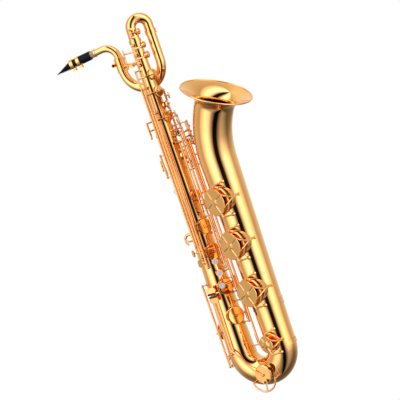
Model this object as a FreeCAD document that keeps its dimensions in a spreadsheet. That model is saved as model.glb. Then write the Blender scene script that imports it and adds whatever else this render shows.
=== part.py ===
"""Baritone saxophone as an assembly of separate pieces.

Frame: millimetres, +Z up along the body tube, +X from the body tube towards the bell, origin at the centre
of the strap ring. The player stands on the -X side. Azimuths are measured about a tube's own axis in
degrees: 0 points along -Y (the player's right), 90 along +X, 180 along +Y.
"""
import FreeCAD, Part
import Sketcher
import math
import os

V = FreeCAD.Vector
UP = V(0, 0, 1)

doc = FreeCAD.newDocument("baritone_saxophone")
sheet = doc.addObject("Spreadsheet::Sheet", "sizes")

DRIVING_SIZES = {
    # tubes
    "wall": 1.2,
    "body_x": 34.0,
    "body_top": 418.0,
    "body_bottom": -468.0,
    "body_top_radius": 15.0,
    "body_bottom_radius": 37.5,
    "bell_gap": 126.0,
    "bell_base_radius": 40.5,
    "bell_bend_start": 48.0,
    "bell_bend_radius": 270.0,
    "bell_tilt": 31.0,
    "flare_length": 43.0,
    "throat_radius": 54.5,
    "rim_radius": 96.0,
    "rim_wire_radius": 2.3,
    "chimney_height": 3.2,
    "chimney_wall": 1.4,
    # top bow, crook and neck
    "top_bow_z": 450.0,
    "top_bow_radius": 24.0,
    "top_tube_radius": 14.3,
    "crook_tube_radius": 12.6,
    "crook_x": 35.0,
    "crook_y": 33.0,
    "crook_arc_z": 351.0,
    "crook_arc_radius": 61.5,
    "receiver_top": 386.0,
    "receiver_radius": 14.2,
    "neck_tenon_radius": 11.4,
    "neck_tip_radius": 8.6,
    "neck_bend_radius": 34.0,
    "neck_swing": 15.0,
    "neck_droop": 7.0,
    "neck_reach": 39.0,
    "cork_radius": 9.9,
    "cork_length": 34.0,
    "mouthpiece_length": 108.0,
    "mouthpiece_radius": 12.4,
    # key work
    "rod_radius": 1.5,
    "tube_bore_radius": 1.55,
    "hinge_tube_radius": 3.0,
    "post_ball_radius": 3.6,
    "post_stem_radius": 1.9,
    "post_foot_radius": 5.2,
    "end_gap": 0.3,
    "pad_gap": 0.3,
    "pad_thickness": 3.0,
    "pad_drop": 0.6,
    "cup_wall": 1.3,
    "cup_crown": 1.2,
    "arm_radius": 2.6,
    "arm_tip_radius": 2.0,
    "pearl_radius": 7.6,
    "pearl_thickness": 2.0,
    "roller_radius": 2.7,
    "plate_thickness": 2.2,
    "guard_thickness": 1.6,
    # strap ring
    "ring_bore_radius": 4.6,
    "ring_wire": 2.6,
    "ring_width": 3.0,
}
for row, (alias, value) in enumerate(DRIVING_SIZES.items(), start=1):
    sheet.set("A%d" % row, alias)
    sheet.set("B%d" % row, str(value))
    sheet.setAlias("B%d" % row, alias)
doc.recompute()


def size(alias):
    """A driving dimension, read back from the sheet."""
    return float(sheet.get(alias))


def bind(feature, **expressions):
    """Tie a feature's properties to cells of the sheet."""
    for name, expression in expressions.items():
        text = expression
        for alias in sorted(DRIVING_SIZES, key=len, reverse=True):
            text = text.replace("@" + alias, "sizes." + alias)
        feature.setExpression(name, text)
    return feature


BODY_X = size("body_x")
BELL_X = BODY_X + size("bell_gap")
BODY_TAPER = (size("body_bottom_radius") - size("body_top_radius")) / (size("body_top") - size("body_bottom"))

nodes = {}


def node(feature, label):
    """Register a finished sub-part: its label names its file."""
    feature.Label = label
    nodes[label] = feature
    return feature


# ---------------------------------------------------------------- geometry helpers

def polar(axis_x, azimuth, rho, z):
    """Point at a distance rho from a vertical tube's axis."""
    angle = math.radians(azimuth)
    return V(axis_x + rho * math.sin(angle), -rho * math.cos(angle), z)


def outward(azimuth):
    """Unit vector pointing away from a vertical axis."""
    return polar(0, azimuth, 1, 0)


def body_radius(z):
    """Outer radius of the body tube at a height."""
    return size("body_top_radius") + BODY_TAPER * (size("body_top") - z)


def bell_radius(z):
    """Outer radius of the straight part of the bell, a gentle cone that opens faster upwards."""
    rise = z - size("body_bottom")
    return size("bell_base_radius") + 0.0152 * rise + 7.6e-6 * rise * rise


def aim(start, direction):
    """Placement at start whose own Z axis points along direction."""
    return FreeCAD.Placement(start, FreeCAD.Rotation(UP, direction))


def assign(feature, name, value):
    """Give a property a plain number, or an expression of the sheet when value is text."""
    if isinstance(value, str):
        bind(feature, **{name: value})
    else:
        setattr(feature, name, value)


def rod(start, end, radius):
    """Round bar from start to end; radius is a number or an expression of the sheet."""
    span = end - start
    bar = doc.addObject("Part::Cylinder", "bar")
    assign(bar, "Radius", radius)
    bar.Height = span.Length
    bar.Placement = aim(start, span)
    return bar


def disc(centre, normal, radius, height):
    """Flat round plate that grows from centre along normal."""
    plate = doc.addObject("Part::Cylinder", "disc")
    assign(plate, "Radius", radius)
    assign(plate, "Height", height)
    plate.Placement = aim(centre, normal)
    return plate


def cone(start, end, radius_start, radius_end):
    """Tapered bar from start to end."""
    span = end - start
    bar = doc.addObject("Part::Cone", "cone")
    bar.Radius1 = radius_start
    bar.Radius2 = radius_end
    bar.Height = span.Length
    bar.Placement = aim(start, span)
    return bar


def ball(centre, radius):
    """Sphere; radius is a number or an expression of the sheet."""
    sphere = doc.addObject("Part::Sphere", "ball")
    assign(sphere, "Radius", radius)
    sphere.Placement = FreeCAD.Placement(centre, FreeCAD.Rotation())
    return sphere


def fuse(parts):
    """One solid from several that touch."""
    union = doc.addObject("Part::MultiFuse", "union")
    union.Shapes = parts
    return union


def group(parts):
    """Separate solids kept together as one object."""
    compound = doc.addObject("Part::Compound", "group")
    compound.Links = parts
    return compound


def cut(base, tool):
    """Base with tool taken away."""
    remainder = doc.addObject("Part::Cut", "cut")
    remainder.Base = base
    remainder.Tool = tool
    return remainder


def bent_bar(points, radius_start, radius_end):
    """Round bar through points, tapering evenly, with a ball in each corner."""
    pieces = []
    steps = len(points) - 1
    for index in range(steps):
        near = radius_start + (radius_end - radius_start) * index / steps
        far = radius_start + (radius_end - radius_start) * (index + 1) / steps
        pieces.append(cone(points[index], points[index + 1], near, far))
        if index:
            pieces.append(ball(points[index], near))
    return pieces


def stadium(centre, normal, along, width, height, thickness):
    """Plate with round ends: width runs along, height across it."""
    side = V(along).normalize()
    across = normal.cross(side)
    half = width / 2 - height / 2
    slab = doc.addObject("Part::Box", "slab")
    slab.Length = 2 * half
    slab.Width = height
    assign(slab, "Height", thickness)
    turn = FreeCAD.Rotation(side, across, normal, "ZXY")
    slab.Placement = FreeCAD.Placement(centre - side * half - across * (height / 2), turn)
    ends = [disc(centre + side * half * sign, normal, height / 2, thickness) for sign in (-1, 1)]
    return [slab] + ends


def round_section(centre, direction, binormal, radius):
    """Circle wire square to direction, with its seam along binormal so that sections line up."""
    third = direction.cross(binormal)
    wire = Part.Wire(Part.makeCircle(radius))
    wire.Placement = FreeCAD.Placement(centre, FreeCAD.Rotation(binormal, third, direction, "ZXY"))
    return wire


def arc_stations(centre, start_direction, normal, radius, sweep, radii, count):
    """Stations along an arc that starts at centre + radius * start_direction and turns about normal."""
    stations = []
    for index in range(count + 1):
        share = index / count
        turn = FreeCAD.Rotation(normal, sweep * share)
        spoke = turn.multVec(start_direction)
        tangent = normal.cross(spoke) * (1 if sweep > 0 else -1)
        stations.append((centre + spoke * radius, tangent, radii[0] + (radii[1] - radii[0]) * share, 0.0))
    return stations


# ---------------------------------------------------------------- tone holes

tone_holes = {"body": [], "bell": [], "bow": [], "top_bow": []}


def chimney(tube, base, normal, hole_radius, top):
    """Tone-hole chimney: a short tube from inside the wall up to its rim at distance top."""
    outer = disc(base, normal, hole_radius + size("chimney_wall"), top)
    bore = disc(base, normal, hole_radius, top + 1)
    tone_holes[tube].append((outer, bore))


# ---------------------------------------------------------------- hinge lines and keys

hinge_rods = []
body_posts = []
needle_springs = []
SPRING_RADIUS = 0.5
SPRING_LENGTH = 26.0
SPRING_OFFSET = 4.4


def hinge_line(x, y, heights):
    """A steel rod parallel to the body between ball-headed posts; x and y are from the body's axis."""
    axis = V(BODY_X + x, y, 0)
    reach = math.hypot(x, y)
    spoke = V(x / reach, y / reach, 0)
    overhang = size("post_ball_radius") + 1.0
    hinge_rods.append(rod(axis + UP * (min(heights) - overhang), axis + UP * (max(heights) + overhang),
                          "@rod_radius"))
    for z in heights:
        top = axis + UP * z
        foot = V(BODY_X, 0, z) + spoke * (body_radius(z) + 0.3)
        body_posts.append(fuse([
            rod(foot, top, "@post_stem_radius"),
            ball(top, "@post_ball_radius"),
            cone(foot, foot + spoke * 2.0, size("post_foot_radius"), size("post_stem_radius")),
            disc(foot - spoke * 1.1, spoke, size("post_foot_radius"), "1.2"),
        ]))
    return axis


CUP_BOSS_HEIGHT = 1.6
EDGE_REACH = 0.6
EDGE_RISE = 0.9


class Key:
    """One rigid key, modelled with its pad closed and then turned about its hinge to its rest pose."""

    def __init__(self, label, axis, low_post, high_post, rest_turn):
        self.label = label
        self.axis = axis
        self.rest_turn = rest_turn
        clear = size("post_ball_radius") + size("end_gap")
        low = axis + UP * (low_post + clear)
        high = axis + UP * (high_post - clear)
        self.brass = [rod(low, high, "@hinge_tube_radius")]
        inward = V(BODY_X - axis.x, -axis.y, 0).normalize() * SPRING_OFFSET
        reach = min(SPRING_LENGTH, (high_post - low_post) / 3)
        needle_springs.append(rod(low + inward, low + inward + UP * reach, str(SPRING_RADIUS)))
        self.cutters = [rod(low - UP, high + UP, "@tube_bore_radius")]
        self.extras = []

    def at(self, z):
        """Point of the hinge axis at a height."""
        return self.axis + UP * z

    def arm(self, z, points, start=None, end=None):
        """Arm from the hinge tube at height z through points."""
        thick = size("arm_radius") if start is None else start
        thin = size("arm_tip_radius") if end is None else end
        self.brass += bent_bar([self.at(z)] + points, thick, thin)

    def cup(self, seat, normal, radius, via=(), arm_z=None):
        """Pad cup whose pad closes on a rim at seat; its arm passes the via points."""
        base = seat + normal * (size("pad_gap") + size("pad_drop"))
        depth = size("pad_thickness") - size("pad_drop") + size("cup_wall")
        wall = disc(base, normal, radius, "@pad_thickness - @pad_drop + @cup_wall")
        crown_base = base + normal * depth
        crown = cone(crown_base, crown_base + normal * size("cup_crown"), radius, radius - 2.2)
        top = crown_base + normal * size("cup_crown")
        self.brass += [wall, crown]
        self.brass.append(cone(top - normal * 0.2, top + normal * CUP_BOSS_HEIGHT, 6.0, 3.6))
        pad_seat = seat + normal * size("pad_gap")
        for store in (self.cutters, self.extras):
            store.append(disc(pad_seat, normal, radius - size("cup_wall"), "@pad_thickness"))
        if arm_z is not False:
            start_z = seat.z if arm_z is None else arm_z
            came_from = via[-1] if via else self.at(start_z)
            along = top - came_from
            along = (along - normal * along.dot(normal)).normalize()
            edge = top - along * (radius + EDGE_REACH) + normal * EDGE_RISE
            self.arm(start_z, list(via) + [edge, top + normal * 0.9])
        return top

    def pearl(self, centre, normal, radius=None):
        """Pearl disc in a shallow brass holder at the end of an arm from the same height."""
        rim = size("pearl_radius") if radius is None else radius
        self.brass.append(disc(centre - normal * 2.0, normal, rim + 0.9, "@pearl_thickness + 1.2"))
        for store in (self.cutters, self.extras):
            store.append(disc(centre - normal * 0.8, normal, rim, "@pearl_thickness"))

    def finish(self):
        """Fuse the brass, bore the tube and seat the pads, then turn the key to its rest pose."""
        brass = cut(fuse(self.brass), group(self.cutters))
        whole = group([brass] + self.extras)
        turn = FreeCAD.Placement(V(), FreeCAD.Rotation(UP, self.rest_turn), self.axis)
        whole.Placement = turn
        return node(whole, self.label)


def body_seat(azimuth, z):
    """Rim centre of a tone hole on the body."""
    return polar(BODY_X, azimuth, body_radius(z) + size("chimney_height"), z)


def body_hole(azimuth, z, cup_radius):
    """Tone hole under a cup on the body."""
    chimney("body", V(BODY_X, 0, z), outward(azimuth), cup_radius - 4.2, body_radius(z) + size("chimney_height"))


# ---------------------------------------------------------------- bell keys

BELL_HOLE_AZIMUTH = -4.0
BELL_HOLE_INSET = 5.5
BELL_KEY_OPENING = 6.0
C_SHARP_OPENING = 4.0
GUARD_TILT = 8.0
TABLE_NORMAL = outward(140)
TABLE_CENTRE = V(BODY_X + 42, 40, 0)
TABLE_SIDE = V(-TABLE_NORMAL.y, TABLE_NORMAL.x, 0)
guards = []
bumpers = []


def turned(point, axis, degrees):
    """Point turned about a vertical axis."""
    return axis + FreeCAD.Rotation(UP, degrees).multVec(point - axis)


GUARD_LIFT = 7.9
GUARD_INSET = 2.5
GUARD_HUB_RADIUS = 6.5
LEG_CLEARANCE = 6.5
LEG_RADIUS = 2.2
PRONG_ANGLE = 38.0
SHORT_LEG_ANGLE = 69.0
SHORT_FOOT_TURN = 24.0
FORK_HEIGHT = 8.0
FOOT_CLEARANCE = 5.5
FELT_RADIUS = 4.0
FELT_GAP = 1.8
FELT_PROUD = 0.8


def bell_foot(azimuth, z, radius, leg_start):
    """Leg from leg_start down to a round foot on the bell."""
    surface = polar(BELL_X, azimuth, bell_radius(z) - 0.4, z)
    return [cone(leg_start, surface, LEG_RADIUS, LEG_RADIUS + 0.6), disc(surface, outward(azimuth), radius, 2.2),
            ball(leg_start, LEG_RADIUS + 0.5)]


def bell_guard(key_axis, seat, cup_radius, opening):
    """Round guard plate over an open cup, its fork and short legs, and its felt bumper."""
    z = seat.z
    normal = outward(BELL_HOLE_AZIMUTH)
    tangent = V(-normal.y, normal.x, 0)
    stack = size("pad_gap") + size("pad_thickness") + size("cup_wall") + size("cup_crown") + CUP_BOSS_HEIGHT
    boss = turned(seat + normal * stack, key_axis, -opening)
    open_normal = outward(BELL_HOLE_AZIMUTH - opening)
    centre = boss + open_normal * GUARD_LIFT
    facing = outward(BELL_HOLE_AZIMUTH - opening - GUARD_TILT)
    away = V(-facing.y, facing.x, 0)
    rim = cup_radius - GUARD_INSET
    reach = cup_radius + LEG_CLEARANCE
    middle = centre + facing * (size("guard_thickness") / 2)
    pieces = [disc(centre, facing, rim, "@guard_thickness"),
              disc(centre + facing * 1.2, facing, GUARD_HUB_RADIUS, 2.0)]
    fork = seat + tangent * reach + normal * FORK_HEIGHT
    chimney_reach = (cup_radius - BELL_HOLE_INSET + size("chimney_wall") + FOOT_CLEARANCE) / bell_radius(z)
    pieces += bell_foot(BELL_HOLE_AZIMUTH + math.degrees(math.asin(chimney_reach)), z, 4.6, fork)
    for side in (-1, 1):
        prong = math.radians(PRONG_ANGLE)
        start = middle + (away * math.cos(prong) + UP * side * math.sin(prong)) * (rim - 2)
        shoulder = middle + away * (reach + 0.5) + UP * (side * rim * 0.3)
        pieces += bent_bar([start, shoulder, fork], LEG_RADIUS - 0.2, LEG_RADIUS + 0.3)
        short = math.radians(SHORT_LEG_ANGLE)
        spoke = away * math.cos(short) + UP * (side * math.sin(short))
        knee = middle + spoke * reach
        pieces.append(rod(middle + spoke * (rim - 2), knee, LEG_RADIUS))
        pieces += bell_foot(BELL_HOLE_AZIMUTH + SHORT_FOOT_TURN, knee.z + side * 2, 5.2, knee)
    felt_seat = boss + open_normal * FELT_GAP
    felt_length = GUARD_LIFT - FELT_GAP + size("guard_thickness") + FELT_PROUD
    guards.append(cut(fuse(pieces), disc(felt_seat - open_normal, open_normal, FELT_RADIUS + 0.05, felt_length + 6)))
    bumpers.append(disc(felt_seat, open_normal, FELT_RADIUS, felt_length))


def bell_key(label, x, y, posts, z, cup_radius, opening, plate_z=None, arm_z=None, guard_opening=None):
    """Long key that closes a bell tone hole from a tube beside the body."""
    axis = hinge_line(x, y, posts)
    key = Key(label, axis, min(posts), max(posts), -opening)
    rho = bell_radius(z) + size("chimney_height")
    seat = polar(BELL_X, BELL_HOLE_AZIMUTH, rho, z)
    normal = outward(BELL_HOLE_AZIMUTH)
    chimney("bell", V(BELL_X, 0, z), normal, cup_radius - BELL_HOLE_INSET, rho)
    key.cup(seat, normal, cup_radius, arm_z=arm_z)
    bell_guard(axis, seat, cup_radius, opening if guard_opening is None else guard_opening)
    if plate_z is not None:
        table_plate(key, plate_z, opening)
    return key


def table_plate(key, z, rest_turn_back):
    """Touch plate of the left-hand table with a roller along its lower edge."""
    centre = turned(TABLE_CENTRE + UP * z, key.axis, rest_turn_back)
    normal = FreeCAD.Rotation(UP, rest_turn_back).multVec(TABLE_NORMAL)
    side = FreeCAD.Rotation(UP, rest_turn_back).multVec(TABLE_SIDE)
    key.brass += stadium(centre, normal, V(side), 27.0, 13.0, "@plate_thickness")
    key.arm(z, [centre + normal * 0.6], end=2.4)
    edge = centre + normal * 3.2 - UP * 5.4
    key.cutters.append(rod(edge - side * 10.3, edge + side * 10.3, "@roller_radius + 0.2"))
    key.extras.append(rod(edge - side * 10.0, edge + side * 10.0, "@roller_radius"))


bell_key("key_low_a", 45, -26, [-67, 128], -49, 40.5, BELL_KEY_OPENING).finish()
bell_key("key_low_b_flat", 51, -19, [-228, 146], -172, 40.5, BELL_KEY_OPENING, plate_z=132.5).finish()
bell_key("key_low_b", 57, -12, [-325, 162], -307, 39.5, BELL_KEY_OPENING, plate_z=147.5).finish()
bell_key("key_low_c_sharp", 63, -5, [-456, 126], -452, 26.5, 0, arm_z=-444, guard_opening=C_SHARP_OPENING).finish()

lever_axis = hinge_line(57, 22, [110, 172])
lever = Key("lever_low_c_sharp", lever_axis, 110, 172, 0)
table_plate(lever, 162.5, 0)
lever.arm(119, [V(BODY_X + 62.5, 2.5, 119)])
lever.finish()

# ---------------------------------------------------------------- G sharp, low E flat and low C

g_sharp_axis = hinge_line(50, 8, [-42, 123.5])
g_sharp = Key("key_g_sharp", g_sharp_axis, -42, 123.5, 0)
body_hole(68, -22, 16.5)
g_sharp.cup(body_seat(68, -22), outward(68), 16.5, via=[polar(BODY_X, 82, 44, -22)])
table_plate(g_sharp, 116, 0)
g_sharp.finish()

e_flat_axis = hinge_line(-30.7, -32.9, [-492, -262])
e_flat = Key("key_low_e_flat", e_flat_axis, -492, -262, 0)
body_hole(-105, -400, 24)
e_flat.cup(body_seat(-105, -400), outward(-105), 24, via=[polar(BODY_X, -72, 49, -400)])
PINKY_X = BODY_X + 1.0
pinky_face = V(0, -1, 0)
e_flat.brass += stadium(V(PINKY_X, -51.0, -277), pinky_face, V(1, 0, 0), 30.0, 16.0, "@plate_thickness")
e_flat.arm(-277, [V(BODY_X - 20, -45, -277), V(PINKY_X - 6, -51.6, -277)])
e_flat.cutters.append(rod(V(PINKY_X - 11.3, -53.8, -286.2), V(PINKY_X + 11.3, -53.8, -286.2),
                          "@roller_radius + 0.2"))
e_flat.extras.append(rod(V(PINKY_X - 11, -53.8, -286.2), V(PINKY_X + 11, -53.8, -286.2), "@roller_radius"))
e_flat.finish()

LOW_C_OPENING = 6.0
LOW_C_X = BODY_X + 74.0
LOW_C_Z = -530.0
BOW_HOLE_RADIUS = 39.3
low_c_axis = hinge_line(-4, -46, [-458, -293])
low_c = Key("key_low_c", low_c_axis, -458, -293, -LOW_C_OPENING)
low_c_seat = V(LOW_C_X, -(BOW_HOLE_RADIUS + size("chimney_height")), LOW_C_Z)
chimney("bow", V(LOW_C_X, 0, LOW_C_Z), V(0, -1, 0), 21.5, BOW_HOLE_RADIUS + size("chimney_height"))
cup_top = low_c.cup(low_c_seat, V(0, -1, 0), 26, arm_z=False)
low_c.arm(-448, [V(BODY_X + 14, -50, -462), V(BODY_X + 34, -52.5, -489), V(BODY_X + 54, -52.5, -514),
                 cup_top + V(0, -0.9, 0)], start=3.0, end=2.3)
low_c.brass += stadium(V(PINKY_X + 3, -51.5, -303), pinky_face, V(1, 0, 0), 30.0, 16.0, "@plate_thickness")
low_c.arm(-303, [V(PINKY_X + 4, -52.5, -303)])
low_c.cutters.append(rod(V(PINKY_X - 8.3, -54.3, -294.2), V(PINKY_X + 14.3, -54.3, -294.2),
                         "@roller_radius + 0.2"))
low_c.extras.append(rod(V(PINKY_X - 8, -54.3, -294.2), V(PINKY_X + 14, -54.3, -294.2), "@roller_radius"))
low_c.finish()

# ---------------------------------------------------------------- lower stack (right hand)

STACK_OPENING = 7.0
near_line = hinge_line(42.8, 7.5, [-86, -132, -217, -302])
far_line = hinge_line(52, 1.8, [-262, -388])
LOWER_STACK = (
    # name, line, posts, cup height, cup radius, pearl height, pearl azimuth, pearl rise
    ("key_f_sharp", near_line, -132, -86, -108, 21.0, None, None, None),
    ("key_f", near_line, -217, -132, -179, 22.5, -205, 39, 16.5),
    ("key_e", near_line, -302, -217, -279, 22.0, -238, 41, 16.5),
    ("key_d", far_line, -388, -262, -361, 25.0, -271, 35, 24.0),
)
for label, line, low_post, high_post, z, radius, pearl_z, pearl_azimuth, pearl_rise in LOWER_STACK:
    key = Key(label, line, low_post, high_post, STACK_OPENING)
    body_hole(53, z, radius)
    key.cup(body_seat(53, z), outward(53), radius, via=[polar(BODY_X, 78, body_radius(z) + 16, z)])
    if pearl_z:
        spot = polar(BODY_X, pearl_azimuth, body_radius(pearl_z) + pearl_rise, pearl_z)
        inward = outward(pearl_azimuth) * -2.0
        bend = polar(BODY_X, 65, body_radius(pearl_z) + pearl_rise - 4.5, pearl_z)
        key.arm(pearl_z, [bend, spot + inward])
        key.pearl(spot, outward(pearl_azimuth))
    key.finish()

# ---------------------------------------------------------------- upper stack (left hand)

inner_line = hinge_line(16.5, 28.6, [144, 212, 270])
outer_line = hinge_line(27.6, 32.9, [44, 194])
UPPER_STACK = (
    # name, line, posts, cup azimuth, cup height, cup radius, pearl height
    ("key_b", inner_line, 212, 270, 100, 232, 11.0, 253),
    ("key_a", inner_line, 144, 212, 112, 150, 11.5, 203),
    ("key_g", outer_line, 44, 194, 100, 90, 14.0, 184),
)
UPPER_PEARL_AZIMUTH = 106.0
UPPER_PEARL_RADIUS = 37.0
for label, line, low_post, high_post, azimuth, z, radius, pearl_z in UPPER_STACK:
    key = Key(label, line, low_post, high_post, STACK_OPENING)
    body_hole(azimuth, z, radius)
    key.cup(body_seat(azimuth, z), outward(azimuth), radius, via=[polar(BODY_X, 132, body_radius(z) + 14, z)])
    facing = outward(UPPER_PEARL_AZIMUTH)
    spot = polar(BODY_X, UPPER_PEARL_AZIMUTH, UPPER_PEARL_RADIUS, pearl_z)
    key.arm(pearl_z, [polar(BODY_X, 126, UPPER_PEARL_RADIUS + 1, pearl_z), spot - facing * 2.0])
    key.pearl(spot, facing)
    key.finish()

# ---------------------------------------------------------------- side keys

SIDE_KEYS = (
    # name, tube azimuth, touch azimuth, posts, cup height, cup radius, touch height
    ("key_high_e", -12, -44, -154, 340, 320, 14.5, -136),
    ("key_side_c", 0, -28, -186, 290, 272, 14.5, -170),
    ("key_side_b_flat", 12, -12, -216, 220, 200, 13.5, -200),
)
SIDE_LINE_RADIUS = 37.0
SIDE_HOLE_AZIMUTH = 74.0
SIDE_TOUCH_RADIUS = 42.5
for label, azimuth, touch_azimuth, low_post, top_post, z, radius, touch_z in SIDE_KEYS:
    angle = math.radians(azimuth)
    axis = hinge_line(SIDE_LINE_RADIUS * math.sin(angle), -SIDE_LINE_RADIUS * math.cos(angle), [low_post, top_post])
    key = Key(label, axis, low_post, top_post, 0)
    body_hole(SIDE_HOLE_AZIMUTH, z, radius)
    reach = body_radius(z) + 15
    via = [polar(BODY_X, turn, reach, z) for turn in (24, 48)]
    key.cup(body_seat(SIDE_HOLE_AZIMUTH, z), outward(SIDE_HOLE_AZIMUTH), radius, via=via)
    facing = outward(touch_azimuth)
    spot = polar(BODY_X, touch_azimuth, SIDE_TOUCH_RADIUS, touch_z)
    key.brass += stadium(spot, facing, V(0, 0, 1), 20.0, 11.0, "@plate_thickness")
    key.arm(touch_z, [spot + facing * 0.4])
    key.finish()

# ---------------------------------------------------------------- palm keys, octave and thumb levers

palm_axis = hinge_line(2.2, -24.9, [352, 380, 408])
PALM_HOLE_AZIMUTH = 98.0
PALM_TOUCH_AZIMUTH = -70.0
PALM_TOUCH_RADIUS = 40.0
PALM_KEYS = (
    # name, posts, cup height, cup radius
    ("key_palm_d", 380, 408, 402, 8.7),
    ("key_palm_e_flat", 352, 380, 374, 9.5),
)
for label, low_post, high_post, z, radius in PALM_KEYS:
    key = Key(label, palm_axis, low_post, high_post, 0)
    body_hole(PALM_HOLE_AZIMUTH, z, radius)
    key.cup(body_seat(PALM_HOLE_AZIMUTH, z), outward(PALM_HOLE_AZIMUTH), radius,
            via=[polar(BODY_X, 50, 31, z - 3)], arm_z=high_post - 9)
    touch_z = (low_post + high_post) / 2 - 1
    touch = polar(BODY_X, PALM_TOUCH_AZIMUTH, PALM_TOUCH_RADIUS, touch_z)
    key.arm(touch_z, [polar(BODY_X, -32, 33, touch_z), touch])
    key.brass += stadium(touch, outward(PALM_TOUCH_AZIMUTH), V(0, 0, 1), 27.0, 11.0, "@plate_thickness")
    key.finish()

HIGH_F_Z = 440.0
high_f_axis = hinge_line(10, -25.5, [429, 451])
high_f = Key("key_high_f", high_f_axis, 429, 451, 0)
high_f_seat = polar(BODY_X, 84, size("top_tube_radius") + size("chimney_height"), HIGH_F_Z)
chimney("top_bow", V(BODY_X, 0, HIGH_F_Z), outward(84), 4.6, size("top_tube_radius") + size("chimney_height"))
high_f.cup(high_f_seat, outward(84), 8.5, via=[polar(BODY_X, 50, 27, HIGH_F_Z)])
high_f.finish()

octave_axis = hinge_line(-30, 20, [166, 210])
octave = Key("octave_thumb_lever", octave_axis, 166, 210, 0)
octave.brass += stadium(V(BODY_X - 45.5, -6, 176), V(-1, 0, 0), V(0, 0, 1), 46.0, 8.0, "@plate_thickness")
for z in (176, 198):
    octave.arm(z, [V(BODY_X - 46, -5, z)])
octave.finish()

vent_axis = hinge_line(-27, 8, [224, 252])
vent = Key("octave_vent", vent_axis, 224, 252, 0)
chimney("body", V(BODY_X, 0, 238), outward(-150), 3.2, body_radius(238) + size("chimney_height"))
vent.cup(body_seat(-150, 238), outward(-150), 6.6)
vent.finish()

thumb_axis = hinge_line(-39, -6, [44, 104])
low_a_lever = Key("low_a_thumb_lever", thumb_axis, 44, 104, 0)
low_a_lever.brass += stadium(V(BODY_X - 46.5, 1, 76), V(-1, 0, 0), V(0, 0, 1), 30.0, 12.0, "@plate_thickness")
low_a_lever.arm(76, [V(BODY_X - 46.5, 1, 76)])
low_a_lever.finish()

# ---------------------------------------------------------------- main tubes

def feature_of(shape, label):
    """Computed shape as an object of the document."""
    feature = doc.addObject("Part::Feature", label)
    feature.Shape = shape
    return feature


def loft_pair(stations, binormal):
    """Outer and inner solids of a bent or flared tube through stations."""
    pair = []
    for inset in (0.0, size("wall")):
        wires = [round_section(c, d, binormal, r - inset * math.hypot(1, slope)) for c, d, r, slope in stations]
        pair.append(feature_of(Part.makeLoft(wires, True, False), "loft"))
    return pair


def straight_pair(start, end, radius_start, radius_end):
    """Outer and inner solids of a straight tapered tube."""
    wall = size("wall")
    return [cone(start, end, radius_start, radius_end), cone(start, end, radius_start - wall, radius_end - wall)]


def tube(label, pairs, holes=(), clear=()):
    """Hollow tube from one or more runs, with its tone-hole chimneys, cleared for other pieces."""
    outer = [pair[0] for pair in pairs] + [hole[0] for hole in holes]
    inner = [pair[1] for pair in pairs] + [hole[1] for hole in holes] + list(clear)
    solid = fuse(outer) if len(outer) > 1 else outer[0]
    hollow = fuse(inner) if len(inner) > 1 else inner[0]
    return node(cut(solid, hollow), label)


body_outer = doc.addObject("Part::Cone", "body_outer")
bind(body_outer, Radius1="@body_bottom_radius", Radius2="@body_top_radius", Height="@body_top - @body_bottom")
body_inner = doc.addObject("Part::Cone", "body_inner")
bind(body_inner, Radius1="@body_bottom_radius - @wall", Radius2="@body_top_radius - @wall",
     Height="@body_top - @body_bottom")
for piece in (body_outer, body_inner):
    piece.Placement = FreeCAD.Placement(V(BODY_X, 0, size("body_bottom")), FreeCAD.Rotation())
tube("body_tube", [(body_outer, body_inner)], tone_holes["body"])

BOW_Z = size("body_bottom")
BOW_RADIUS = size("bell_gap") / 2
bow_stations = arc_stations(V(BODY_X + BOW_RADIUS, 0, BOW_Z), V(-1, 0, 0), V(0, -1, 0), BOW_RADIUS, 180,
                            (size("body_bottom_radius"), size("bell_base_radius")), 18)
bow_pair = loft_pair(bow_stations, V(0, -1, 0))
BELL_RING_Z = -355.0
lowest_chimney = tone_holes["bell"][-1][0]
tube("lower_bow", [bow_pair], tone_holes["bow"], [lowest_chimney])

bend_start = size("bell_bend_start")
bell_stations = []
for step in range(7):
    z = size("body_bottom") + (bend_start - size("body_bottom")) * step / 6
    bell_stations.append((V(BELL_X, 0, z), UP, bell_radius(z), 0.02))
bend_centre = V(BELL_X + size("bell_bend_radius"), 0, bend_start)
bend = arc_stations(bend_centre, V(-1, 0, 0), V(0, 1, 0), size("bell_bend_radius"), size("bell_tilt"), (1, 1), 6)
bend_length = math.radians(size("bell_tilt")) * size("bell_bend_radius")
for index, station in enumerate(bend[1:], start=1):
    bell_stations.append((station[0], station[1], bell_radius(bend_start + bend_length * index / 6), 0.03))
flare_start, flare_axis, flare_base = bell_stations[-1][:3]
FLARE_STEPS = 9
FLARE_POWER = 2.5
for step in range(1, FLARE_STEPS + 1):
    share = step / FLARE_STEPS
    growth = size("rim_radius") - 1.0 - flare_base
    slope = growth * FLARE_POWER * share ** (FLARE_POWER - 1) / size("flare_length")
    bell_stations.append((flare_start + flare_axis * size("flare_length") * share, flare_axis,
                          flare_base + growth * share ** FLARE_POWER, slope))
bell_pair = loft_pair(bell_stations, V(0, 1, 0))
tube("bell", [bell_pair], tone_holes["bell"])

RIM_CENTRE = flare_start + flare_axis * size("flare_length")
rim = doc.addObject("Part::Torus", "rim")
bind(rim, Radius1="@rim_radius", Radius2="@rim_wire_radius")
rim.Placement = aim(RIM_CENTRE, flare_axis)
node(cut(rim, bell_pair[0]), "bell_rim")


LIP_LENGTH = 2.0
LIP_RISE = 0.9


def ferrule(centre, direction, radius, length, inside):
    """Ring around a joint, hollowed by the tubes that pass through it."""
    low = centre - direction * (length / 2)
    ring = disc(low, direction, radius, length)
    lip_top = disc(low + direction * (length - LIP_LENGTH), direction, radius + LIP_RISE, LIP_LENGTH)
    lip_low = disc(low, direction, radius + LIP_RISE, LIP_LENGTH)
    return cut(fuse([ring, lip_top, lip_low]), group(inside))


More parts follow.
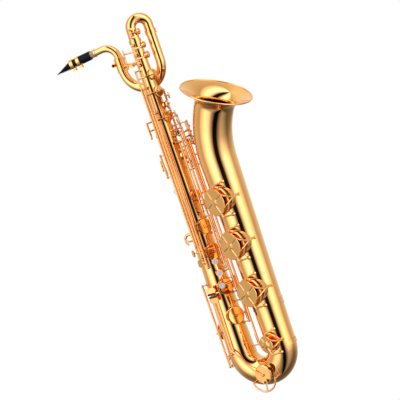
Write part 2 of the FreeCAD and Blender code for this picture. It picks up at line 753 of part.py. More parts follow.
# ---------------------------------------------------------------- top bow, crook and receiver

crook_foot = V(BODY_X + size("crook_x"), size("crook_y"), size("top_bow_z"))
across = V(size("crook_x"), size("crook_y"), 0)
bow_reach = across.Length / 2
across.normalize()
leg_top = V(BODY_X, 0, size("top_bow_z"))
leg_low = V(BODY_X, 0, size("body_top"))
top_radius = size("top_tube_radius")
turn_axis = (across * -1).cross(UP)
top_stations = arc_stations(leg_top + across * bow_reach, across * -1, turn_axis, bow_reach, 180,
                            (top_radius, top_radius - 0.6), 14)
SLEEVE_Z = size("top_bow_z") - 22
sleeve_low = V(crook_foot.x, crook_foot.y, SLEEVE_Z)
top_pairs = [straight_pair(leg_low, leg_top, size("body_top_radius") - 0.2, top_radius),
             loft_pair(top_stations, turn_axis),
             straight_pair(crook_foot, sleeve_low, top_radius - 0.6, top_radius - 0.7)]
tube("top_bow", top_pairs, tone_holes["top_bow"])

ARC_Z = size("crook_arc_z")
crook_radius = size("crook_tube_radius")
U_CENTRE = V(crook_foot.x - size("crook_arc_radius"), crook_foot.y, ARC_Z)
RECEIVER_X = crook_foot.x - 2 * size("crook_arc_radius")
receiver_axis = V(RECEIVER_X, crook_foot.y, 0)
SEAT_Z = ARC_Z + 6
u_stations = arc_stations(U_CENTRE, V(1, 0, 0), V(0, 1, 0), size("crook_arc_radius"), 180,
                          (crook_radius + 0.5, crook_radius), 18)
crook_pairs = [straight_pair(sleeve_low, V(crook_foot.x, crook_foot.y, ARC_Z), top_radius - 0.7, crook_radius + 0.5),
               loft_pair(u_stations, V(0, 1, 0)),
               straight_pair(receiver_axis + UP * ARC_Z, receiver_axis + UP * SEAT_Z, crook_radius,
                             crook_radius - 0.01)]
tube("crook_tube", crook_pairs)

receiver_top = size("receiver_top")
RECEIVER_LOW = ARC_Z - 3
BORE_SLACK = 0.05
receiver = rod(receiver_axis + UP * RECEIVER_LOW, receiver_axis + UP * receiver_top, "@receiver_radius")
receiver_lip = disc(receiver_axis + UP * (receiver_top - 4), UP, size("receiver_radius") + 1.2, "4")
receiver_foot = disc(receiver_axis + UP * RECEIVER_LOW, UP, size("receiver_radius") + 0.9, "3")
EAR_Z = 372.0
ear = doc.addObject("Part::Box", "ear")
ear.Length = 9
ear.Width = 13
ear.Height = 12
ear.Placement.Base = V(RECEIVER_X - size("receiver_radius") - 7.5, crook_foot.y - 6.5, EAR_Z - 6)
SCREW_X = RECEIVER_X - size("receiver_radius") - 4.0
screw_low = V(SCREW_X, crook_foot.y - 12, EAR_Z)
screw_high = V(SCREW_X, crook_foot.y + 9, EAR_Z)
receiver_bore = rod(receiver_axis + UP * SEAT_Z, receiver_axis + UP * (receiver_top + 1),
                    "@neck_tenon_radius + %s" % BORE_SLACK)
screw_bore = rod(screw_low, screw_high, "2 + %s" % BORE_SLACK)
ear_slit = doc.addObject("Part::Box", "ear_slit")
ear_slit.Length = 12
ear_slit.Width = 1.6
ear_slit.Height = 30
ear_slit.Placement.Base = V(RECEIVER_X - size("receiver_radius") - 10, crook_foot.y - 0.8, EAR_Z - 15)
node(cut(fuse([receiver, receiver_lip, receiver_foot, ear]),
         group([receiver_bore, screw_bore, ear_slit, crook_pairs[1][0], crook_pairs[2][0]])), "neck_receiver")

screw_shank = rod(screw_low, screw_high, "2")
screw_head = rod(screw_low, V(SCREW_X, crook_foot.y - 7.0, EAR_Z), "4.4")
screw_grip = doc.addObject("Part::Box", "grip")
screw_grip.Length = 1.6
screw_grip.Width = 6.0
screw_grip.Height = 8.0
screw_grip.Placement.Base = V(SCREW_X - 0.8, crook_foot.y - 17.5, EAR_Z - 4)
node(fuse([screw_shank, screw_head, screw_grip]), "receiver_clamp_screw")

socket_centre = V(RECEIVER_X, crook_foot.y + size("receiver_radius") + 4.2, 362)
socket = rod(socket_centre, socket_centre + UP * 16, "4.6")
socket_hole = rod(socket_centre - UP, socket_centre + UP * 17, "2.6")
node(cut(socket, group([socket_hole, receiver, receiver_lip])), "lyre_socket")

node(group([
    ferrule(leg_low, UP, size("body_top_radius") + 1.6, 9, [body_outer, top_pairs[0][0]]),
    ferrule(sleeve_low, UP, top_radius + 1.2, 12, [top_pairs[2][0], crook_pairs[0][0]]),
]), "crook_ferrules")

bow_ends = [body_outer, bow_pair[0], bell_pair[0], lowest_chimney]
bow_rings = [
    ferrule(V(BODY_X, 0, BOW_Z), UP, size("body_bottom_radius") + 1.5, 12, bow_ends),
    ferrule(V(BELL_X, 0, BOW_Z), UP, size("bell_base_radius") + 1.5, 12, bow_ends),
    ferrule(V(BELL_X, 0, BELL_RING_Z), UP, bell_radius(BELL_RING_Z) + 0.8, 18, bow_ends),
]
node(group(bow_rings), "bow_ferrules")

# ---------------------------------------------------------------- braces, guards, posts and fittings

BRACE_Z = 358.0
brace_line = V(BODY_X, 0, BRACE_Z) - V(RECEIVER_X, crook_foot.y, BRACE_Z)
brace_direction = V(brace_line).normalize()
brace_start = V(RECEIVER_X, crook_foot.y, BRACE_Z) + brace_direction * (size("receiver_radius") - 0.6)
brace_end = V(BODY_X, 0, BRACE_Z) - brace_direction * (body_radius(BRACE_Z) - 0.6)
brace_middle = (brace_start + brace_end) * 0.5
brace = fuse([
    rod(brace_start, brace_end, "3.0"),
    disc(brace_start, brace_direction, 6.0, "2"),
    disc(brace_end - brace_direction * 2.4, brace_direction, 6.0, "2.4"),
    disc(brace_middle + V(0, 3.6, 0), V(0, -1, 0), 7.0, "7.2"),
])
node(cut(brace, group([body_outer, receiver])), "crook_brace")

RING_Z = 66.0
RING_X = 51.0
RING_Y = 24.0
ring = doc.addObject("Part::Torus", "brace_ring")
ring.Radius1 = 14.0
ring.Radius2 = 2.3
ring.Placement = aim(V(BODY_X + RING_X, RING_Y, RING_Z), V(0, 1, 0))
body_leg_end = V(BODY_X + RING_X - 14, RING_Y, RING_Z)
bell_leg_end = V(BODY_X + RING_X + 14, RING_Y, RING_Z)
bell_brace = fuse([
    ring,
    cone(V(BODY_X + 12, 15, RING_Z), body_leg_end, 4.6, 2.6),
    cone(V(BELL_X - 40, 24, RING_Z + 12), bell_leg_end + UP * 4, 4.0, 2.4),
    cone(V(BELL_X - 40, 24, RING_Z - 12), bell_leg_end - UP * 4, 4.0, 2.4),
])
node(cut(bell_brace, group([body_outer, bell_pair[0]])), "bell_brace")

guard_clear = [bell_pair[0], bow_pair[0]] + bow_rings
node(group([cut(guard, group(guard_clear)) for guard in guards]), "bell_key_guards")

HOOP_CENTRE = V(LOW_C_X + 2, -62.5, LOW_C_Z - 11)
HOOP_RADIUS = 34.0
hoop = doc.addObject("Part::Torus", "hoop")
hoop.Radius1 = HOOP_RADIUS
hoop.Radius2 = 2.4
hoop.Angle3 = 170
hoop.Placement = FreeCAD.Placement(HOOP_CENTRE, FreeCAD.Rotation(V(1, 0, 0), V(0, 0, -1), V(0, 1, 0), "ZXY"))
hoop.Placement = hoop.Placement.multiply(FreeCAD.Placement(V(), FreeCAD.Rotation(UP, 5)))
hoop_parts = [hoop]
for degrees in (185, 270, 355):
    spoke = V(math.cos(math.radians(degrees)), 0, math.sin(math.radians(degrees)))
    end = HOOP_CENTRE + spoke * HOOP_RADIUS
    hoop_parts.append(ball(end, "2.6"))
for degrees in (188, 352):
    spoke = V(math.cos(math.radians(degrees)), 0, math.sin(math.radians(degrees)))
    end = HOOP_CENTRE + spoke * HOOP_RADIUS
    hoop_parts.append(cone(end, V(end.x - spoke.x * 2, -24, end.z + 4), 2.5, 3.4))
BUMPER_SPOT = V(LOW_C_X + 4, -62.5, LOW_C_Z - 20)
hoop_parts.append(cone(HOOP_CENTRE - UP * HOOP_RADIUS, BUMPER_SPOT, 2.6, 2.2))
hoop_parts.append(disc(BUMPER_SPOT + V(0, 1.5, 0), V(0, -1, 0), 6.2, "3.6"))
bow_felt = disc(BUMPER_SPOT + V(0, 3.2, 0), V(0, -1, 0), 4.0, "6.2")
bow_chimneys = [hole[0] for hole in tone_holes["bow"]]
node(cut(fuse(hoop_parts), group([bow_pair[0], bow_felt] + bow_chimneys)), "bow_key_guard")
node(group(bumpers + [bow_felt]), "guard_bumpers")

node(group(hinge_rods), "hinge_rods")
body_chimneys = [hole[0] for hole in tone_holes["body"]]
post_clear = [body_outer, bow_pair[0], top_pairs[0][0], top_pairs[1][0]] + bow_rings + body_chimneys + hinge_rods
node(cut(group(body_posts), group(post_clear)), "body_posts")
node(group(needle_springs), "needle_springs")

ring_sketch_body = doc.addObject("PartDesign::Body", "ring_body")
doc.recompute()


def origin_plane(body, role):
    """One of a body's own origin planes."""
    return next(plane for plane in body.Origin.OriginFeatures if plane.Role == role)


def sketch_on(body, role):
    """New sketch on one of a body's origin planes."""
    sketch = body.newObject("Sketcher::SketchObject", "sketch")
    sketch.AttachmentSupport = [(origin_plane(body, role), "")]
    sketch.MapMode = "FlatFace"
    return sketch


def add_circle(sketch, radius):
    """Circle about the sketch's origin whose radius follows an expression of the sheet."""
    index = sketch.addGeometry(Part.Circle(V(), UP, 5.0), False)
    sketch.addConstraint(Sketcher.Constraint("Coincident", index, 3, -1, 1))
    constraint = sketch.addConstraint(Sketcher.Constraint("Radius", index, 5.0))
    bind(sketch, **{"Constraints[%d]" % constraint: radius})
    return index


def add_outline(sketch, points):
    """Closed outline of straight lines."""
    for start, end in zip(points, points[1:] + points[:1]):
        sketch.addGeometry(Part.LineSegment(V(start[0], start[1], 0), V(end[0], end[1], 0)), False)


ring_sketch = sketch_on(ring_sketch_body, "XZ_Plane")
add_circle(ring_sketch, "@ring_bore_radius")
add_circle(ring_sketch, "@ring_bore_radius + @ring_wire")
ring_pad = ring_sketch_body.newObject("PartDesign::Pad", "ring_pad")
ring_pad.Profile = ring_sketch
ring_pad.Midplane = True
bind(ring_pad, Length="@ring_width")
doc.recompute()
ring_outer = size("ring_bore_radius") + size("ring_wire")
ring_stem = rod(V(ring_outer - 0.8, 0, 0), V(BODY_X - body_radius(0) + 0.6, 0, 0), "2.2")
ring_plate = disc(V(BODY_X - body_radius(0) - 1.0, 0, 0), V(1, 0, 0), 6.5, "3")
node(cut(fuse([ring_sketch_body, ring_stem, ring_plate]), body_outer), "strap_ring")

rest_facing = outward(-98)
REST_Z = 155.0
rest_base = V(BODY_X, 0, REST_Z) + rest_facing * (body_radius(REST_Z) - 0.4)
rest_stub = rod(rest_base, rest_base + rest_facing * 9, "5.0")
rest_button = cone(rest_base + rest_facing * 9, rest_base + rest_facing * 13, 7.2, 6.2)
node(cut(fuse([rest_stub, rest_button]), body_outer), "thumb_rest")

HOOK_Z = -137.0
hook_facing = outward(-84)
hook_surface = body_radius(HOOK_Z)


def hook_point(rho, z):
    """Point of the thumb hook's centre line."""
    return V(BODY_X, 0, z) + hook_facing * rho


hook = bent_bar([hook_point(hook_surface + 0.5, -120), hook_point(hook_surface + 15, -121),
                 hook_point(hook_surface + 22, -129), hook_point(hook_surface + 21, -146)], 4.2, 3.2)
hook += stadium(hook_point(hook_surface - 0.9, -128), hook_facing, V(0, 0, 1), 34.0, 12.0, "2.4")
hook.append(disc(hook_point(hook_surface + 1.0, -138), hook_facing, 3.4, "2.6"))
hook.append(disc(hook_point(hook_surface + 1.0, -128), hook_facing, 3.4, "2.6"))
node(cut(fuse(hook), body_outer), "thumb_hook")

# ---------------------------------------------------------------- neck, cork and mouthpiece

swing = math.radians(size("neck_swing"))
droop = math.radians(size("neck_droop"))
forward = V(-math.cos(swing), -math.sin(swing), 0)
NECK_STRAIGHT_TOP = receiver_top + 3
neck_low = receiver_axis + UP * (SEAT_Z + 1)
neck_elbow = receiver_axis + UP * NECK_STRAIGHT_TOP
neck_turn = (forward * -1).cross(UP)
bend_radius = size("neck_bend_radius")
neck_stations = arc_stations(neck_elbow + forward * bend_radius, forward * -1, neck_turn, bend_radius,
                             90 + size("neck_droop"), (size("neck_tenon_radius") - 0.4, 9.4), 12)
neck_end, neck_axis = neck_stations[-1][:2]
neck_tip = neck_end + neck_axis * (size("neck_reach") + 19)
neck_pairs = [straight_pair(neck_low, neck_elbow, size("neck_tenon_radius"), size("neck_tenon_radius") - 0.4),
              loft_pair(neck_stations, neck_turn),
              straight_pair(neck_end, neck_tip, 9.4, size("neck_tip_radius"))]
tenon = rod(neck_low, receiver_axis + UP * receiver_top, "@neck_tenon_radius")
collar = disc(receiver_axis + UP * (receiver_top + 0.4), UP, size("neck_tenon_radius") + 1.9, "3.4")
neck_solid = fuse([tenon, collar] + [pair[0] for pair in neck_pairs])
node(cut(neck_solid, fuse([pair[1] for pair in neck_pairs])), "neck_tube")

CORK_START = 22.0
cork_low = neck_end + neck_axis * CORK_START
cork_high = cork_low + neck_axis * size("cork_length")
node(cut(rod(cork_low, cork_high, "@cork_radius"), neck_pairs[2][0]), "neck_cork")
cork_ring = rod(cork_low - neck_axis * 3.0, cork_low, "@cork_radius + 1.4")
node(cut(cork_ring, neck_pairs[2][0]), "neck_cork_ring")

MOUTHPIECE_START = 34.0
shank_end = neck_end + neck_axis * MOUTHPIECE_START
beak_side = neck_turn.cross(neck_axis)
if beak_side.z < 0:
    beak_side = beak_side * -1
mouth_frame = FreeCAD.Placement(shank_end, FreeCAD.Rotation(beak_side, neck_axis.cross(beak_side), neck_axis, "ZXY"))

mouth_length = size("mouthpiece_length")
mouth_radius = size("mouthpiece_radius")
table_x = -9.2
mouth = doc.addObject("PartDesign::Body", "mouthpiece_body")
doc.recompute()
profile = sketch_on(mouth, "XZ_Plane")
bore = size("cork_radius") + BORE_SLACK
add_outline(profile, [(bore, 0), (mouth_radius, 0), (mouth_radius, mouth_length), (5.5, mouth_length),
                      (5.5, 50), (bore, 50)])
turned_body = mouth.newObject("PartDesign::Revolution", "turned_body")
turned_body.Profile = profile
turned_body.ReferenceAxis = (profile, ["V_Axis"])
turned_body.Angle = 360
doc.recompute()
beak = sketch_on(mouth, "XZ_Plane")
add_outline(beak, [(mouth_radius + 2, 46), (mouth_radius + 2, mouth_length + 2), (table_x + 0.9, mouth_length + 2),
                   (table_x + 1.2, mouth_length), (table_x + 6.2, mouth_length - 16), (mouth_radius + 0.2, 54)])
beak_cut = mouth.newObject("PartDesign::Pocket", "beak_cut")
beak_cut.Profile = beak
beak_cut.Type = "ThroughAll"
beak_cut.Midplane = True
doc.recompute()
table = sketch_on(mouth, "XZ_Plane")
add_outline(table, [(table_x, 27), (-mouth_radius - 2, 27), (-mouth_radius - 2, mouth_length + 2),
                    (table_x + 0.8, mouth_length + 2), (table_x, mouth_length - 26)])
table_cut = mouth.newObject("PartDesign::Pocket", "table_cut")
table_cut.Profile = table
table_cut.Type = "ThroughAll"
table_cut.Midplane = True
doc.recompute()
mouth.Placement = mouth_frame
node(mouth, "mouthpiece")

reed = doc.addObject("PartDesign::Body", "reed_body")
doc.recompute()
reed_side = sketch_on(reed, "XZ_Plane")
REED_LOW = 28.0
add_outline(reed_side, [(table_x - 0.05, REED_LOW), (table_x - 3.0, REED_LOW), (table_x - 3.0, 70),
                        (table_x - 1.6, 84), (table_x - 0.45, mouth_length - 0.5), (table_x - 0.05, mouth_length - 0.5)])
reed_pad = reed.newObject("PartDesign::Pad", "reed_pad")
reed_pad.Profile = reed_side
reed_pad.Midplane = True
reed_pad.Length = 16.4
doc.recompute()
round_back = doc.addObject("Part::Cylinder", "round_back")
bind(round_back, Radius="@mouthpiece_radius - 0.05", Height="@mouthpiece_length + 5")
reed_shape = doc.addObject("Part::Common", "reed_shape")
reed_shape.Base = reed
reed_shape.Tool = round_back
reed_shape.Placement = mouth_frame
node(reed_shape, "reed")

LIGATURE_BANDS = (34.0, 54.0)
BAND_WIDTH = 9.0
ligature_parts = []
for low in LIGATURE_BANDS:
    ligature_parts.append(rod(V(0, 0, low), V(0, 0, low + BAND_WIDTH), "@mouthpiece_radius + 1.3"))
    for side in (-1, 1):
        lug = doc.addObject("Part::Box", "lug")
        lug.Length = 7.5
        lug.Width = 3.0
        lug.Height = BAND_WIDTH
        lug.Placement.Base = V(-mouth_radius - 7.2, side * 3.6 - 1.5, low)
        ligature_parts.append(lug)
for side in (-1, 1):
    rail_x = math.sqrt(3) / 2 * (mouth_radius + 0.7)
    ligature_parts.append(rod(V(rail_x, side * (mouth_radius + 0.7) / 2, LIGATURE_BANDS[0]),
                              V(rail_x, side * (mouth_radius + 0.7) / 2, LIGATURE_BANDS[1] + BAND_WIDTH), "1.1"))
clear_bore = rod(V(0, 0, 20), V(0, 0, 80), "@mouthpiece_radius + 0.05")
split = doc.addObject("Part::Box", "split")
split.Length = 12
split.Width = 4.0
split.Height = 60
split.Placement.Base = V(-mouth_radius - 9, -2.0, 20)
screw_middles = [low + BAND_WIDTH / 2 for low in LIGATURE_BANDS]
SCREW_DROP = -mouth_radius - 4.6
screw_holes = [rod(V(SCREW_DROP, -8, z), V(SCREW_DROP, 12, z), "1.2 + %s" % BORE_SLACK) for z in screw_middles]
ligature = cut(fuse(ligature_parts), group([clear_bore, split] + screw_holes))
ligature.Placement = mouth_frame
node(ligature, "ligature")
for label, z in zip(("ligature_screw_back", "ligature_screw_front"), screw_middles):
    shank = rod(V(SCREW_DROP, -7.5, z), V(SCREW_DROP, 8, z), "1.2")
    head = rod(V(SCREW_DROP, 5.6, z), V(SCREW_DROP, 12.5, z), "2.9")
    grip = rod(V(SCREW_DROP, 8.5, z), V(SCREW_DROP, 13.5, z), "3.4")
    screw = fuse([shank, head, grip])
    screw.Placement = mouth_frame
    node(screw, label)

# ---------------------------------------------------------------- check and write

doc.recompute()
failed = [item.Label for item in doc.Objects if "Invalid" in item.State or "Error" in item.State]
if failed:
    raise SystemExit("failed objects: " + ", ".join(failed[:20]))
os.makedirs("parts", exist_ok=True)
for label, feature in nodes.items():
    shape = feature.Shape
    if shape.isNull() or not shape.isValid() or not shape.Solids:
        raise SystemExit("bad shape: " + label)
for label, feature in nodes.items():
    feature.Shape.exportStep("parts/%s.step" % label)
print("%d nodes written" % len(nodes))
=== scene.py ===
"""Looks of the baritone saxophone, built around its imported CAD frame.

Shapes are worked out in millimetres in the part's frame (+Z up the body tube, +X towards the bell) and
turned into metres when their meshes are made. Azimuths are about a tube's axis: 0 is -Y and 90 is +X.
"""
import bpy
import bmesh
import math
from mathutils import Matrix, Vector


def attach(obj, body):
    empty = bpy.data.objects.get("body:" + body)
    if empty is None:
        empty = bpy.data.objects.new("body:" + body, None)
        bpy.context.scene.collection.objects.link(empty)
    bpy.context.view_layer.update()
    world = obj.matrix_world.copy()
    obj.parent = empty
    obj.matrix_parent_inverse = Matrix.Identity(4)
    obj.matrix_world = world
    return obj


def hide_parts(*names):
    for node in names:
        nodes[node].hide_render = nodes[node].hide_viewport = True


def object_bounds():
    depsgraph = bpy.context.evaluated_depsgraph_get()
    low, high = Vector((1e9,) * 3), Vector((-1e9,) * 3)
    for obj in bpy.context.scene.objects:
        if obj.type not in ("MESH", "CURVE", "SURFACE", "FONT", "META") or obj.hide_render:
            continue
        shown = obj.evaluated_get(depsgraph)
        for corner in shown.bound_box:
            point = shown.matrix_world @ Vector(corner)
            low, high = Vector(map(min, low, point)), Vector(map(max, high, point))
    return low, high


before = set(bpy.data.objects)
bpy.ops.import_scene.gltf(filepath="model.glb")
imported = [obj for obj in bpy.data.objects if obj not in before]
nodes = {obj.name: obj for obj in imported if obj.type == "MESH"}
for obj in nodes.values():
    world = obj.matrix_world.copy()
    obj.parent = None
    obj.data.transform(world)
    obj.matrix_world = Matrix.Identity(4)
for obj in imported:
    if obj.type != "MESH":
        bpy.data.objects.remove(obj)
CAD_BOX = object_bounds()
UP = Vector((0, 0, 1))
TO_FRONT, TO_BACK, TO_LEFT = Vector((0, -1, 0)), Vector((0, 1, 0)), Vector((-1, 0, 0))
MM = 0.001

# ---------------------------------------------------------------- sizes of the CAD source, in millimetres

WALL = 1.2
BODY_X = 34.0
BODY_TOP, BODY_BOTTOM = 418.0, -468.0
BODY_TOP_RADIUS, BODY_BOTTOM_RADIUS = 15.0, 37.5
BELL_X = BODY_X + 126.0
BELL_BASE_RADIUS, BELL_TAPER, BELL_CURVE = 40.5, 0.0152, 7.6e-6
BELL_BEND_START, BELL_BEND_RADIUS, BELL_TILT = 48.0, 270.0, 31.0
FLARE_LENGTH, FLARE_POWER, RIM_RADIUS, RIM_WIRE = 43.0, 2.5, 96.0, 2.3
CHIMNEY_HEIGHT, CHIMNEY_WALL = 3.2, 1.4
TOP_BOW_Z, TOP_TUBE_RADIUS = 450.0, 14.3
CROOK_X, CROOK_Y, CROOK_ARC_Z, CROOK_ARC_RADIUS, CROOK_RADIUS = 35.0, 33.0, 351.0, 61.5, 12.6
RECEIVER_TOP, NECK_TENON_RADIUS, NECK_BEND_END_RADIUS = 386.0, 11.4, 9.4
NECK_BEND_RADIUS, NECK_SWING, NECK_DROOP, NECK_TIP_RADIUS, NECK_RUN = 34.0, 15.0, 7.0, 8.6, 58.0
PAD_GAP, PAD_THICKNESS, PAD_DROP = 0.3, 3.0, 0.6
CUP_WALL, CUP_CROWN, CROWN_BEVEL, CUP_BOSS_HEIGHT = 1.3, 1.2, 2.2, 1.6
PEARL_RADIUS, PEARL_SINK, PEARL_RISE = 7.6, 0.8, 1.3

BODY_TAPER = (BODY_BOTTOM_RADIUS - BODY_TOP_RADIUS) / (BODY_TOP - BODY_BOTTOM)


def polar(axis_x, azimuth, rho, z):
    """Point at a distance rho from a vertical tube's axis."""
    angle = math.radians(azimuth)
    return Vector((axis_x + rho * math.sin(angle), -rho * math.cos(angle), z))


def outward(azimuth):
    """Unit vector pointing away from a vertical axis."""
    return polar(0, azimuth, 1, 0)


def body_radius(z):
    """Outer radius of the body tube at a height."""
    return BODY_TOP_RADIUS + BODY_TAPER * (BODY_TOP - z)


def bell_radius(z):
    """Outer radius of the bell below its flare, at a height or at the same distance along its bend."""
    rise = z - BODY_BOTTOM
    return BELL_BASE_RADIUS + BELL_TAPER * rise + BELL_CURVE * rise * rise


# ---------------------------------------------------------------- materials

def material(name):
    """New node material: its tree, its surface shader and its object coordinates."""
    made = bpy.data.materials.new(name)
    made.use_nodes = True
    tree = made.node_tree
    shader = tree.nodes["Principled BSDF"]
    coordinates = tree.nodes.new("ShaderNodeTexCoord").outputs["Object"]
    return made, tree, shader, coordinates


def stretched(tree, coordinates, scale, turn=(0, 0, 0)):
    """Coordinates scaled differently along each axis."""
    mapping = tree.nodes.new("ShaderNodeMapping")
    mapping.inputs["Scale"].default_value = scale
    mapping.inputs["Rotation"].default_value = turn
    tree.links.new(coordinates, mapping.inputs["Vector"])
    return mapping.outputs["Vector"]


def noise(tree, vector, scale, detail=3.0, roughness=0.5):
    """Factor output of a noise texture."""
    made = tree.nodes.new("ShaderNodeTexNoise")
    made.inputs["Scale"].default_value = scale
    made.inputs["Detail"].default_value = detail
    made.inputs["Roughness"].default_value = roughness
    tree.links.new(vector, made.inputs["Vector"])
    return made.outputs["Fac"]


def ramp(tree, factor, stops):
    """Colour ramp through (position, colour) stops."""
    made = tree.nodes.new("ShaderNodeValToRGB")
    elements = made.color_ramp.elements
    while len(elements) < len(stops):
        elements.new(0.5)
    for element, (position, colour) in zip(elements, stops):
        element.position = position
        element.color = (*colour, 1.0)
    tree.links.new(factor, made.inputs["Fac"])
    return made.outputs["Color"]


def spread(tree, factor, low, high):
    """Factor mapped from 0..1 onto low..high."""
    made = tree.nodes.new("ShaderNodeMapRange")
    made.inputs["To Min"].default_value = low
    made.inputs["To Max"].default_value = high
    tree.links.new(factor, made.inputs["Value"])
    return made.outputs["Result"]


def bump(tree, shader, height, strength, distance):
    """Bump from a height factor."""
    made = tree.nodes.new("ShaderNodeBump")
    made.inputs["Strength"].default_value = strength
    made.inputs["Distance"].default_value = distance
    tree.links.new(height, made.inputs["Height"])
    tree.links.new(made.outputs["Normal"], shader.inputs["Normal"])


def lacquered_brass(name, light, deep, roughness):
    """Polished brass under clear lacquer, with faint cloudiness and streaks along the tubes."""
    made, tree, shader, place = material(name)
    tree.links.new(ramp(tree, noise(tree, place, 14.0), [(0.35, deep), (0.65, light)]),
                   shader.inputs["Base Color"])
    haze = noise(tree, stretched(tree, place, (90, 90, 12)), 1.0, 4.0)
    tree.links.new(spread(tree, haze, roughness, roughness + 0.05), shader.inputs["Roughness"])
    bump(tree, shader, noise(tree, place, 45.0, 2.0), 0.02, 0.0006)
    shader.inputs["Metallic"].default_value = 1.0
    shader.inputs["Coat Weight"].default_value = 0.35
    shader.inputs["Coat Roughness"].default_value = 0.03
    shader.inputs["Coat IOR"].default_value = 1.5
    return made


def plain_metal(name, light, dark, roughness, lines):
    """Bare metal with fine turning rings along Z."""
    made, tree, shader, place = material(name)
    grain = noise(tree, stretched(tree, place, (60, 60, lines)), 1.0, 3.0)
    tree.links.new(ramp(tree, grain, [(0.3, dark), (0.7, light)]), shader.inputs["Base Color"])
    tree.links.new(spread(tree, grain, roughness, roughness + 0.12), shader.inputs["Roughness"])
    bump(tree, shader, grain, 0.08, 0.0002)
    shader.inputs["Metallic"].default_value = 1.0
    return made


def moulded(name, light, dark, roughness, scale, coat):
    """Hard rubber or plastic with a fine uneven sheen; scale sets the size of its clouding."""
    made, tree, shader, place = material(name)
    cloud = noise(tree, place, scale, 4.0)
    tree.links.new(ramp(tree, cloud, [(0.3, dark), (0.7, light)]), shader.inputs["Base Color"])
    tree.links.new(spread(tree, cloud, roughness, roughness + 0.15), shader.inputs["Roughness"])
    bump(tree, shader, noise(tree, place, scale * 12, 2.0), 0.06, 0.0001)
    shader.inputs["Specular IOR Level"].default_value = 0.12
    shader.inputs["Coat Weight"].default_value = coat
    shader.inputs["Coat Roughness"].default_value = 0.12
    return made


def leather(name):
    """Tan kid leather of the pads."""
    made, tree, shader, place = material(name)
    cells = tree.nodes.new("ShaderNodeTexVoronoi")
    cells.inputs["Scale"].default_value = 900.0
    tree.links.new(place, cells.inputs["Vector"])
    tan = ramp(tree, noise(tree, place, 120.0), [(0.3, (0.20, 0.085, 0.03)), (0.7, (0.34, 0.16, 0.06))])
    tree.links.new(tan, shader.inputs["Base Color"])
    bump(tree, shader, cells.outputs["Distance"], 0.35, 0.0002)
    shader.inputs["Roughness"].default_value = 0.55
    return made


def pearl_shell(name):
    """Mother-of-pearl of the finger touches."""
    made, tree, shader, place = material(name)
    layers = noise(tree, stretched(tree, place, (70, 160, 70), (0.4, 0.2, 0.6)), 1.0, 5.0, 0.6)
    lustre = ramp(tree, layers, [(0.25, (0.52, 0.49, 0.47)), (0.45, (0.72, 0.70, 0.68)),
                                 (0.6, (0.66, 0.65, 0.62)), (0.8, (0.78, 0.74, 0.69))])
    tree.links.new(lustre, shader.inputs["Base Color"])
    tree.links.new(spread(tree, layers, 0.12, 0.3), shader.inputs["Roughness"])
    shader.inputs["Coat Weight"].default_value = 0.5
    shader.inputs["Coat Roughness"].default_value = 0.08
    return made


def soft_felt(name, light, dark):
    """Dense felt."""
    made, tree, shader, place = material(name)
    fuzz = noise(tree, place, 2600.0, 5.0, 0.7)
    tree.links.new(ramp(tree, fuzz, [(0.3, dark), (0.7, light)]), shader.inputs["Base Color"])
    bump(tree, shader, fuzz, 0.6, 0.0004)
    shader.inputs["Roughness"].default_value = 0.95
    shader.inputs["Sheen Weight"].default_value = 0.3
    return made


def cork_bark(name):
    """Sheet cork with dark pores."""
    made, tree, shader, place = material(name)
    cells = tree.nodes.new("ShaderNodeTexVoronoi")
    cells.inputs["Scale"].default_value = 420.0
    tree.links.new(place, cells.inputs["Vector"])
    bark = ramp(tree, cells.outputs["Distance"], [(0.05, (0.10, 0.045, 0.02)), (0.3, (0.42, 0.25, 0.12)),
                                                  (0.8, (0.55, 0.36, 0.19))])
    tree.links.new(bark, shader.inputs["Base Color"])
    bump(tree, shader, cells.outputs["Distance"], 0.4, 0.0003)
    shader.inputs["Roughness"].default_value = 0.8
    return made


def cane_reed(name, turn):
    """Cane with fibres along the reed: turn is the reed's frame, with its length along Z."""
    made, tree, shader, place = material(name)
    mapping = tree.nodes.new("ShaderNodeMapping")
    mapping.vector_type = "TEXTURE"
    mapping.inputs["Rotation"].default_value = turn.to_euler()
    mapping.inputs["Scale"].default_value = (1 / 900, 1 / 900, 1 / 25)
    tree.links.new(place, mapping.inputs["Vector"])
    fibres = noise(tree, mapping.outputs["Vector"], 1.0, 4.0, 0.65)
    straw = ramp(tree, fibres, [(0.3, (0.50, 0.33, 0.13)), (0.55, (0.72, 0.55, 0.27)),
                                (0.8, (0.80, 0.66, 0.38))])
    tree.links.new(straw, shader.inputs["Base Color"])
    bump(tree, shader, fibres, 0.25, 0.0002)
    shader.inputs["Roughness"].default_value = 0.5
    return made


brass = lacquered_brass("lacquered_brass", (1.0, 0.535, 0.16), (0.97, 0.485, 0.13), 0.05)
key_brass = lacquered_brass("key_brass", (0.98, 0.505, 0.145), (0.92, 0.445, 0.11), 0.08)
steel = plain_metal("steel", (0.62, 0.60, 0.56), (0.40, 0.38, 0.36), 0.22, 900)
blued_steel = plain_metal("blued_steel", (0.07, 0.09, 0.16), (0.03, 0.035, 0.06), 0.3, 400)
nickel = plain_metal("nickel_silver", (0.66, 0.63, 0.56), (0.5, 0.47, 0.42), 0.18, 500)
ebonite = moulded("ebonite", (0.006, 0.0055, 0.005), (0.003, 0.003, 0.003), 0.28, 60.0, 0.0)
black_plastic = moulded("black_plastic", (0.03, 0.03, 0.03), (0.018, 0.018, 0.018), 0.35, 90.0, 0.1)
roller_black = moulded("roller_black", (0.014, 0.013, 0.013), (0.007, 0.007, 0.007), 0.12, 80.0, 0.6)
pad_leather = leather("pad_leather")
pearl = pearl_shell("mother_of_pearl")
felt = soft_felt("bumper_felt", (0.10, 0.09, 0.085), (0.05, 0.045, 0.045))
cork = cork_bark("cork")

# ---------------------------------------------------------------- mesh helpers

RING_STEPS = 96


